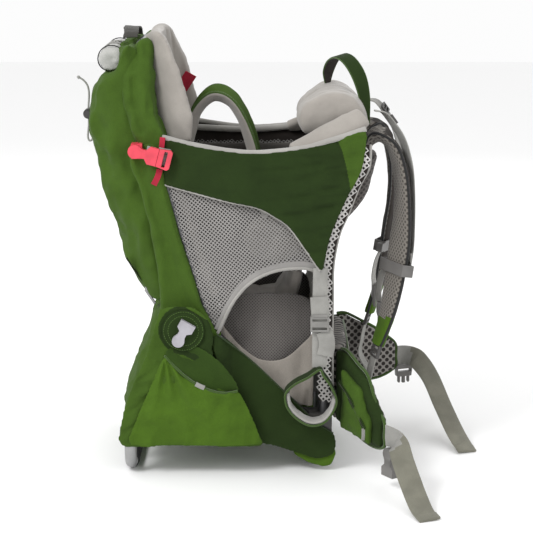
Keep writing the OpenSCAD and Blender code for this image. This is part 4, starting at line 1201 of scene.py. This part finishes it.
def liner(name):
    """Gathered satin that closes the cockpit below the leg opening."""
    top = [(-158, 232), (-130, 196), (-98, 172), (-62, 172), (-26, 202), (-14, 222)]
    rows = 14
    line = smooth_line([(x, 0, z) for x, z in top], 16)[:, [0, 2]]
    verts, faces = [], []
    for j in range(rows):
        t = j / (rows - 1)
        for i, (x, z) in enumerate(line):
            low = 0.098 + 0.02 * (x + 0.15)
            pleat = 3.4 * math.sin(x / MM / 5.2 + 1.5 * math.sin(x / MM / 21)) * (0.35 + 0.65 * t)
            verts.append((x * (1 - 0.06 * t) - 0.004 * t, -(116 + pleat + 7 * t) * MM, z * (1 - t) + low * t))
    n = len(line)
    for j in range(rows - 1):
        for i in range(n - 1):
            faces.append((j * n + i, j * n + i + 1, (j + 1) * n + i + 1, (j + 1) * n + i))
    obj = mesh_piece(name, verts, faces)
    shaped(obj, "SOLIDIFY", thickness=1.0 * MM, offset=0)
    return settle(smooth_skin(obj))


def knit_curtain(name):
    """The fine knit panel that hangs round the seat inside the leg opening."""
    outline = [(-160, 226), (-150, 250), (-120, 268), (-70, 270), (-28, 262), (-16, 236), (-24, 190),
               (-56, 160), (-92, 150), (-124, 166), (-148, 198)]
    obj = even(slab(name, smooth_line(outline, 3, True) / MM, -1.0, 1.0), 1.8, 2)
    co = points_of(obj)
    for p in co:
        x, z = p[0] / MM, p[2] / MM
        p[1] = -(96 + 14 * math.exp(-((x + 92) / 50) ** 2) - (z - 180) * 0.12) * MM + p[1]
    move_points(obj, co)
    return crumple(obj, 24, 1.4, seed=85)


CHILD_STRAP = [(-223, -38, 428), (-205, -40, 500), (-193, -42, 538), (-170, -44, 561), (-145, -45, 556),
               (-125, -46, 530), (-110, -47, 488), (-99, -45, 440), (-92, -40, 402), (-88, -32, 378),
               (-86, -25.4, 368)]
ARCH_GROW = [1, 1, 1, 1, 1, 1, 1, 0.9, 0.75, 0.62, 0.6]


ARCH_WAYS = [(0.5 * math.cos(a), -0.86, 0.5 * math.sin(a))
             for a in (math.atan2(z - 470, x + 150) for x, _, z in CHILD_STRAP)]


def child_strap_edge(share):
    """Points along one edge of the child's strap, in millimetres."""
    return [np.array(p) + unit(np.array(w)) * share * 15 * g
            for p, w, g in zip(CHILD_STRAP, ARCH_WAYS, ARCH_GROW)]


def child_strap(name):
    obj = strap(name, CHILD_STRAP, ARCH_WAYS, 30, 9, PAD, ARCH_GROW, 6)
    crumple(obj, 12, 0.9, seed=87)
    return smooth_skin(obj)


def child_harness():
    near, far = both(child_strap, "child_strap_pad", "pack", "bright_green_fabric", pack_green,
                     "child_strap_*")
    for obj in (near, far):
        paint(obj, fleece, lambda c, n: (c[0] + 155) * n[0] + (c[2] - 430) * n[2] < 4)
    for share, word in ((1, "out"), (-1, "in")):
        both(lambda name, k=share: piping(name, smooth_line(child_strap_edge(k), 6), 1.7),
             "child_strap_" + word,
             "pack", "green_fabric", green_edge)
    low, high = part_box("chest_buckle")
    body = rounded_block("chest_buckle_shell", (low + high) / 2, high - low, 0.003)
    open_mesh(body, lambda c, n: n.x > 0.9)
    bpy.ops.mesh.inset(thickness=0.004, depth=-0.0012)
    close_mesh()
    keep(body, "pack", "dark_plastic", grey_nylon, "chest_buckle", angle=35)


def rounded_block(name, centre, size, radius, segments=3):
    """A block with rounded edges, as moulded parts have."""
    bpy.ops.mesh.primitive_cube_add(size=1, location=centre, scale=size)
    obj = bpy.context.object
    obj.name = name
    bpy.ops.object.transform_apply(location=True, rotation=True, scale=True)
    shaped(obj, "BEVEL", width=radius, segments=segments, limit_method="ANGLE")
    return settle(obj)


# ---------- wearer's harness ----------
STRAP = [(58.5, -40, 474.4), (64.5, -41, 488), (74, -52, 499), (88, -66, 501), (103, -77, 486),
         (114, -86, 452),
         (117, -92, 400), (113, -97, 340), (104, -101, 280), (94, -103, 232), (82, -105, 192)]
STRAP_WAYS = [(0.1, -1, 0), (0.1, -1, 0), (0.14, -1, 0), (0.18, -1, 0), (0.2, -1, 0), (0.2, -1, 0),
              (0.26, -1, 0), (0.42, -1, 0), (0.4, -1, 0), (0.35, -1, 0), (0.3, -1, 0)]
STRAP_GROW = [0.75, 0.9, 1, 1, 1, 1, 1, 0.95, 0.85, 0.68, 0.42]
LIFTER = [(74, -77, 544), (87, -77, 541), (99, -78, 528), (115, -85, 503), (124.5, -90, 472),
          (128.5, -95, 442), (130, -99, 396), (129, -101, 345), (124.5, -103, 312)]


def strap_edge(share, sink_in=0.0):
    """Points along one edge of the shoulder strap, in millimetres."""
    out = []
    grow = STRAP_GROW
    for i, p in enumerate(STRAP):
        u = unit(np.subtract(STRAP[min(i + 1, 10)], STRAP[max(i - 1, 0)]))
        t = unit(np.cross(u, STRAP_WAYS[i]))
        w = unit(np.cross(t, u))
        out.append(np.array(p) + w * share * 31 * grow[i] + t * sink_in)
    return out


def shoulder_strap(name):
    obj = strap(name, STRAP, STRAP_WAYS, 61, 14, PAD, STRAP_GROW, 8)
    crumple(obj, 22, 1.0, seed=91)
    return obj


def shoulder_straps():
    near, far = both(shoulder_strap, "shoulder_pad", "harness", "mesh_fabric", strap_knit, "shoulder_strap_*")
    for obj in (near, far):
        paint(obj, fresh_green, lambda c, n: c[2] < 236)
        paint(obj, lining, lambda c, n: c[2] >= 236 and n[0] * 0.9 + n[2] * 0.25 > 0.35)
    for share, word in ((1, "a"), (-1, "b")):
        both(lambda name, k=share: piping(name, smooth_line(strap_edge(k * 0.99), 8), 2.3),
             "strap_edge_" + word,
             "harness", "dark_fabric", black_edge)
    both(lambda name: strap(name, LIFTER, (0.45, -1, 0), 22, 2), "lifter_web", "harness", "webbing", grey_web,
         "load_lifter_*")
    both(lambda name: strap(name, [(125.3, -103, 334), (125.2, -103, 327), (125.0, -103, 320)],
                            (0.45, -1, 0), 22.8, 3.2),
         "lifter_end", "harness", "webbing", grey_web)
    yoke = even(solid_of("harness_yoke", "yoke_pad"), 2.6, 6)
    co, out = points_of(yoke), normals_of(yoke)
    for i, p in enumerate(co):
        if out[i][0] > 0.3:
            top = min(1, max(0, (p[2] / MM - 372) / 46))
            p[0] += 0.026 * top * (2 - top) * max(0, 1 - (p[1] / 0.071) ** 4)
    move_points(yoke, co)
    crumple(even(yoke, 2.8, 3), 24, 1.2, seed=93)
    keep(yoke, "harness", "dark_fabric", yoke_knit, "harness_yoke")
    start = np.array((82, -105, 192))
    u = unit(start - np.array((94, -103, 232)))
    begin_at = start + u * 20.6
    line = [tuple(begin_at), tuple(begin_at + u * 8)]
    line += [tuple(begin_at + q) for q in np.array([(-6, 4, -26), (-9, 9, -48), (2, 15, -70), (8, 19, -86)])]
    both(lambda name: strap(name, line, (0.3, -1, 0), 22, 2), "adjuster_web", "harness", "webbing", grey_web,
         "adjuster_webbing_*")
    both(sternum_web, "sternum_web", "sternum_*", "webbing", grey_web)
    both(sternum_buckle, "sternum_buckle", "sternum_*", "dark_plastic", grey_nylon, angle=35)


def sternum_web(name):
    """One half of the sternum strap, hanging open from its slider."""
    return strap(name, [(104, -76, 311), (97, -67, 304), (89, -61, 288), (85, -59, 266), (86, -60, 249)],
                 (0.35, -0.9, 0.1), 20, 1.8, steps=7)


def sternum_buckle(name):
    centre = Vector((86.5, -60.5, 238)) * MM
    shell = rounded_block(name, centre, Vector((8, 25, 22)) * MM, 0.0022)
    open_mesh(shell, lambda c, n: n.z < -0.9)
    bpy.ops.mesh.inset(thickness=0.0016, depth=-0.005)
    close_mesh()
    prongs = [rounded_block("prong", centre + Vector((0, s * 8, -17)) * MM, Vector((4, 4, 16)) * MM, 0.0012)
              for s in (-1, 0, 1)]
    return joined(name, [shell] + prongs)


# ---------- hip belt ----------
HIP_ROOT = (23.3, 110.0)
HIP_TURN = {NEAR: -56, FAR: 20}


def hip_place(side, points):
    """Points of a hip wing, from its own frame to the pack's, in millimetres."""
    a = math.radians(HIP_TURN[side])
    return [(HIP_ROOT[0] + x * math.cos(a) - y * math.sin(a),
             side * HIP_ROOT[1] + x * math.sin(a) + y * math.cos(a), z) for x, y, z in points]


def hip_wing(side, word):
    obj = even(solid_of("hip_wing_" + word, "hip_pad_" + word), 3.2, 8)
    stuff(obj, 2 if side == NEAR else 0.5)
    crumple(obj, 28, 1.4 if side == NEAR else 0.7, seed=95)
    smooth_skin(obj)
    keep(obj, "hip_" + word, "green_fabric", deep_green, "hip_wing_" + word)
    a = math.radians(HIP_TURN[side])
    inner = Vector((-math.sin(a), math.cos(a), 0)) * -side
    paint(obj, hip_knit if side == NEAR else far_hip_knit, lambda c, n: n.dot(inner) > 0.4)
    droop = 26 if side == NEAR else 0
    rim = [(6, 0, 188), (22, 0, 187), (50, 0, 172), (73, 0, 159), (95, 0, 143 - droop),
           (112.5, 0, 126 - droop),
           (113.5, 0, 104 - droop), (112, 0, 86 - droop), (78, 0, 71 - droop * 0.6), (20, 0, 71), (6, 0, 73)]
    keep(piping("hip_rim_" + word, smooth_line(hip_place(side, rim), 6), 2.6), "hip_" + word, "green_fabric",
         green_edge)
    pocket = even(solid_of("hip_pocket_" + word, "hip_pouch_" + word), 2.6, 6)
    stuff(pocket, 5)
    crumple(pocket, 22, 2.0, seed=97)
    smooth_skin(pocket)
    keep(pocket, "hip_" + word, "bright_green_fabric", pack_green, "hip_pocket_" + word)
    out = 7.3 + 11 + 2.2
    y = -out if side == NEAR else out
    zip_line = smooth_line(hip_place(side, [(27, y, 146 - droop * 0.1),
                                            (50, y + side * 1.5, 140 - droop * 0.4),
                                            (72, y + side, 126 - droop * 0.7), (92, y, 112 - droop)]), 10)
    zip_run("hip_zip_" + word, zip_line, tuple(unit(np.array(-inner))), 8, "hip_" + word)
    pull = hip_place(side, [(90, y + side * 0.8, 113 - droop), (91, y + side * 1.4, 104 - droop),
                            (90, y + side * 1.2, 95 - droop)])
    keep(strap("hip_pull_" + word, pull, (1, 0.3, 0), 5, 1.8), "hip_" + word, "webbing", grey_web)


HIP_WEB = {
    NEAR: ([(0.5, 0, 80), (28, 0, 80), (42, -5, 74), (62, -12, 56), (88, -19, 34), (112, -26, 17),
            (132, -32, 7), (154, -37, 3)],
           [(0, 0, 1), (0, 0, 1), (0.3, 0.7, 0.7), (0.5, 0.8, 0.3), (0.56, 0.83, 0.1), (0.56, 0.83, 0.05),
            (0.56, 0.83, 0), (0.56, 0.83, 0)]),
    FAR: ([(0.5, 0, 106), (14, 0, 106), (26, -12, 105), (29, -32, 102), (30, -77, 84), (28, -130, 50),
           (27, -181, 19), (26, -221, 3.5)],
          [(0, 0, 1), (0, 0, 1), (0.35, 0.35, 1), (1, 0.2, 0.7), (1, 0.3, 0.25), (1, 0.25, 0.15),
           (1, 0.2, 0.1), (1, 0.2, 0)]),
}


def hip_webbing(side, word):
    """The wide belt webbing: pale where it is sewn in, olive in its free tail."""
    points, ways = HIP_WEB[side]
    a = math.radians(HIP_TURN[side])
    placed = hip_place(side, [(x + 112, y, z) for x, y, z in points])
    turned = [(x * math.cos(a) - y * math.sin(a), x * math.sin(a) + y * math.cos(a), z) for x, y, z in ways]
    obj = strap("hip_web_" + word, placed, turned, 32, 2, steps=7)
    keep(obj, "hip_" + word, "webbing", olive_web, "hip_webbing_" + word)
    tail = placed[2]
    paint(obj, grey_web, lambda c, n: ((Vector(c) - Vector(placed[0])).length
                                       < (Vector(tail) - Vector(placed[0])).length))
    end, before = np.array(placed[-1]), np.array(placed[-2])
    u = unit(end - before)
    hem = [tuple(end - u * 13), tuple(end - u * 6), tuple(end + u * 0.2)]
    keep(strap("hip_hem_" + word, hem, turned[-1], 32.4, 4.4), "hip_" + word, "webbing", olive_web)


# ---------- stirrups ----------
LOOP = [(0, -2), (-17, -13.5), (-38, -25), (-51, -40), (-47.5, -61), (-32, -78.5), (-13, -88), (6, -84),
        (19, -69), (25.5, -50), (17.5, -28.5), (6, -11.5)]
LOOP_FOOT = (-8, 170)


def stirrup_loop(name):
    points = [(LOOP_FOOT[0] + x, -154, LOOP_FOOT[1] + z) for x, z in LOOP]
    return strap(name, points, (0, 1, 0), 26, 3.2, FLAT, closed=True, steps=6)


def stirrup_pad(name):
    """The soft lining where the foot rests."""
    points = [(LOOP_FOOT[0] + x * 0.93, -154, LOOP_FOOT[1] + z * 0.94 - 1) for x, z in LOOP[3:10]]
    return crumple(strap(name, points, (0, 1, 0), 28, 6, PAD, [0.8, 1, 1, 1, 1, 1, 0.8], 6), 10, 0.6, seed=99)


def stirrup_edge(name, y):
    return piping(name, smooth_line([(LOOP_FOOT[0] + x, y, LOOP_FOOT[1] + z) for x, z in LOOP], 6, True), 1.8,
                  closed=True)


def stirrups():
    both(stirrup_loop, "stirrup_loop", "stirrup_*", "dark_green_fabric", deep_green, "stirrup_*")
    both(stirrup_pad, "stirrup_lining", "stirrup_*", "grey_fabric", binding)
    both(lambda name: stirrup_edge(name, -167.2), "stirrup_edge_a", "stirrup_*", "green_fabric", green_edge)
    both(lambda name: stirrup_edge(name, -140.8), "stirrup_edge_b", "stirrup_*", "green_fabric", green_edge)
    both(lambda name: strap(name, [(-7, -148.3, 319), (-8, -148.3, 250), (-8, -148.3, 210), (-8, -149, 168)],
                            (1, 0, 0), 22, 2), "stirrup_web", "stirrup_*", "webbing", grey_web)
    both(lambda name: strap(name, [(-9, -150.6, 276), (-8, -152.8, 262), (-7, -153, 250), (-8, -151, 240)],
                            (1, 0, 0.05), 27, 2.4), "stirrup_fold", "stirrup_*", "webbing", grey_web)
    both(lambda name: strap(name, [(-2, -150.6, 224), (2, -152.6, 214), (3, -152, 200), (0, -151, 186)],
                            (1, 0, 0), 24, 2), "stirrup_tail", "stirrup_*", "webbing", grey_web)
    both(stirrup_lock, "stirrup_lock", "stirrup_*", "dark_plastic", mid_nylon, angle=35)


def stirrup_lock(name):
    """A ladder lock: a rounded plate with two slots and a lifting lip."""
    centre = Vector((-8, -153.4, 235)) * MM
    plate = rounded_block(name, centre, Vector((28, 4, 24)) * MM, 0.0012)
    slots = [rounded_block("slot", centre + Vector((0, 0, s * 6.5)) * MM, Vector((22, 9, 4)) * MM, 0.0004, 1)
             for s in (-1, 1)]
    for cutter in slots:
        shaped(plate, "BOOLEAN", operation="DIFFERENCE", object=cutter, solver="EXACT")
        bpy.data.objects.remove(cutter)
    lip = rounded_block("lip", centre + Vector((0, -1.5, 13)) * MM, Vector((24, 3, 4)) * MM, 0.001)
    return joined(name, [plate, lip])


# ---------- sunshade roll, handles, red webbing ----------
def sunshade():
    """The sunshade, rolled up and squashed, with dark bindings at its ends and a tie round each half."""
    roll = even(solid_of("sunshade_roll", "sunshade_cloth"), 2.8, 10)
    stuff(roll, 6)
    crumple(roll, 20, 3.4, (1, 0.7, 1), 103)
    crumple(roll, 8, 1.0, (1, 0.5, 1), 104)
    low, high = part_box("sunshade_roll")
    x, z = (low.x + high.x) / 2 / MM, (low.z + high.z) / 2 / MM
    for turn in (0.4, 2.5, 4.4):
        line = [(x + 19 * math.cos(turn + t * 0.5), -90 + 180 * t, z + 19 * math.sin(turn + t * 0.5))
                for t in np.linspace(0, 1, 7)]
        sink(roll, smooth_line(line), 2.4, 3)
    smooth_skin(roll)
    keep(roll, "pack", "grey_fabric", sunshade_cloth, "sunshade_roll")
    for y, word in ((-76, "right"), (76, "left"), (-22, "mid_right"), (22, "mid_left")):
        wide, material = (4, black_edge) if abs(y) > 50 else (12, grey_web)
        ring = [(x + 20.5 * math.cos(a), y + 3 * math.sin(3 * a), z + 19.5 * math.sin(a))
                for a in np.linspace(0, 2 * math.pi, 13)[:-1]]
        keep(strap("sunshade_tie_" + word, ring, (0, 1, 0), wide, 1.4, closed=True), "pack", "webbing",
             material)


def handles():
    arch = [(-290, -48, 650), (-290, -43, 656), (-291, -24, 661), (-292, 0, 662), (-291, 24, 661),
            (-290, 43, 656), (-290, 48, 650)]
    web = strap("rear_handle_web", arch, (1, 0, 0), 22, 3.2, steps=8)
    keep(crumple(web, 12, 1.6, seed=105), "pack", "webbing", dark_web, "rear_handle")
    front = [(8, 42, 573.6), (9, 39, 592), (16, 27, 610), (27, 9, 618), (40, -9, 611), (53, -24, 590),
             (61, -35, 560), (65, -42, 520)]
    taper = [0.35, 0.8, 1, 1, 1, 1, 0.8, 0.35]
    ways = [(0.75, 0.35 + 0.02 * i, 0.1 + 0.03 * i) for i in range(8)]
    obj = strap("front_handle_strap", front, ways, 22, 3.6, FLAT, taper, 8)
    keep(obj, "handle", "green_fabric", deep_green, "front_handle")
    paint(obj, lining, lambda c, n: (c[0] - 30) * n[0] + (c[1] - 5) * n[1] + (c[2] - 560) * n[2] < 0)
    for share, word in ((1, "a"), (-1, "b")):
        line = []
        for i, p in enumerate(front):
            u = unit(np.subtract(front[min(i + 1, 7)], front[max(i - 1, 0)]))
            w = unit(np.cross(unit(np.cross(u, ways[i])), u))
            line.append(np.array(p) + w * share * 11 * taper[i])
        keep(piping("front_handle_edge_" + word, smooth_line(line, 8), 1.4), "handle", "green_fabric",
             green_edge)


def red_details():
    """Red webbing at the buckles' wing ends and inside the headrest."""
    y = 146
    both(lambda name: strap(name, [(-238, -y, 513), (-239.5, -y - 0.6, 500), (-241, -y, 486)], (1, 0, 0), 8,
                            1.6),
         "red_tape_top", "pack", "webbing", red_web)
    both(lambda name: strap(name, [(-243, -y, 466), (-246, -y - 0.6, 455), (-252, -y + 0.4, 443)], (1, 0, 0),
                            9, 1.6),
         "red_tape_low", "pack", "webbing", red_web)
    both(lambda name: strap(name, [(-246, -y - 3, 487), (-238, -y - 3, 485), (-229, -y - 0.5, 483)],
                            (0, 0, 1), 25, 1.8),
         "buckle_tab", "pack", "webbing", grey_web)
    both(lambda name: strap(name, [(-262, -y - 7.5, 491), (-258, -y - 8, 490), (-250, -y - 6, 488)],
                            (0.2, 0, 1), 22, 2),
         "buckle_web", "plug_*", "webbing", grey_web)
    keep(strap("headrest_tag", [(-222, 86, 560), (-214, 84, 572), (-206, 82, 584)], (0.4, 0.2, -0.4), 20,
               1.5),
         "pack", "webbing", red_web)


CORD = [(-344.1, -60, 515), (-347, -60, 506), (-350, -60, 498), (-354, -60, 497), (-356, -60, 503),
        (-355, -60, 514),
        (-354, -60, 526), (-354, -60, 538), (-354, -60, 550), (-353, -60, 562), (-353, -61, 572),
        (-355, -63, 581), (-360, -65, 588), (-367, -67, 593)]


def drawcord():
    """The drawcord's free end, which stands out of its lock and ends in a knot on the bag."""
    line = smooth_line(CORD, 4)
    obj = piping("drawcord", line, 1.5, 12)
    bpy.ops.mesh.primitive_ico_sphere_add(subdivisions=3, radius=0.0026, location=line[-1])
    knot = bpy.context.object
    knot.name = "drawcord_knot"
    bpy.ops.object.transform_apply(location=True, rotation=True, scale=True)
    crumple(knot, 2.5, 0.5, seed=107)
    keep(knot, "pack", "webbing", thread_grey)
    keep(obj, "pack", "webbing", thread_grey, "rear_cord")


def zips():
    for side, word in ((NEAR, "right"), (FAR, "left")):
        line = smooth_line([(-252, side * 92, 262), (-266, side * 98, 282), (-281, side * 103, 304),
                            (-294, side * 106, 326)], 12)
        line[:, 0] -= 0.003
        zip_run("lower_zip_" + word, line, (-0.83, 0, -0.55), 8)


# ---------- frame and moulded nodes that stay ----------
KEPT = {
    "front_frame": (frame_tube, 0), "seat_frame": (frame_tube, 0), "cockpit_rails": (binding, 0),
    "frame_clamps": (dark_nylon, 1.5), "hinge_brackets": (dark_nylon, 1.0), "hinge_pins": (zinc, 0.4),
    "kickstand_tube": (leg_tube, 0), "kickstand_foot": (foot_rubber, 0.6), "patch_buckles": (pale_nylon, 0.8),
    "buckle_socket_right": (red_nylon, 1.1), "buckle_socket_left": (red_nylon, 1.1),
    "buckle_plug_right": (red_nylon, 0.9), "buckle_plug_left": (red_nylon, 0.9),
    "cord_lock_barrel": (dark_nylon, 0.5), "cord_lock_button": (dark_nylon, 0.6),
    "harness_locks": (dark_nylon, 0.6),
    "sternum_slider_right": (grey_nylon, 0.9), "sternum_slider_left": (grey_nylon, 0.9),
    "hip_buckle_socket": (grey_nylon, 1.0), "hip_buckle_plug": (grey_nylon, 1.0),
    "rear_zip_slider": (zinc, 0.4),
}


def finish_frame():
    """Gives the CAD nodes that stay their materials, and rounds the moulded ones' edges."""
    for cad_node, (material, radius) in KEPT.items():
        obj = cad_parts[cad_node]
        obj.data.materials.clear()
        obj.data.materials.append(material)
        if radius:
            weld = obj.modifiers.new("weld", "WELD")
            weld.merge_threshold = 0.00002
            bevel = obj.modifiers.new("bevel", "BEVEL")
            bevel.width = radius * MM
            bevel.segments = 3
            bevel.limit_method = "ANGLE"
            bevel.angle_limit = math.radians(40)
            bevel.use_clamp_overlap = True


set_camera()
set_studio()
drawcord()
finish_frame()
cockpit()
windows()
headrest()
drool_pad()
cockpit_walls()
wearer_edge()
rear_bag()
side_panels()
lower_bag()
lower_sides()
child_seat()
both(liner, "liner", "pack", "grey_fabric", satin)
both(knit_curtain, "knit_curtain", "pack", "mesh_fabric", seat_knit)
child_harness()
shoulder_straps()
for where, word in ((NEAR, "right"), (FAR, "left")):
    hip_wing(where, word)
    hip_webbing(where, word)
stirrups()
sunshade()
handles()
red_details()
zips()
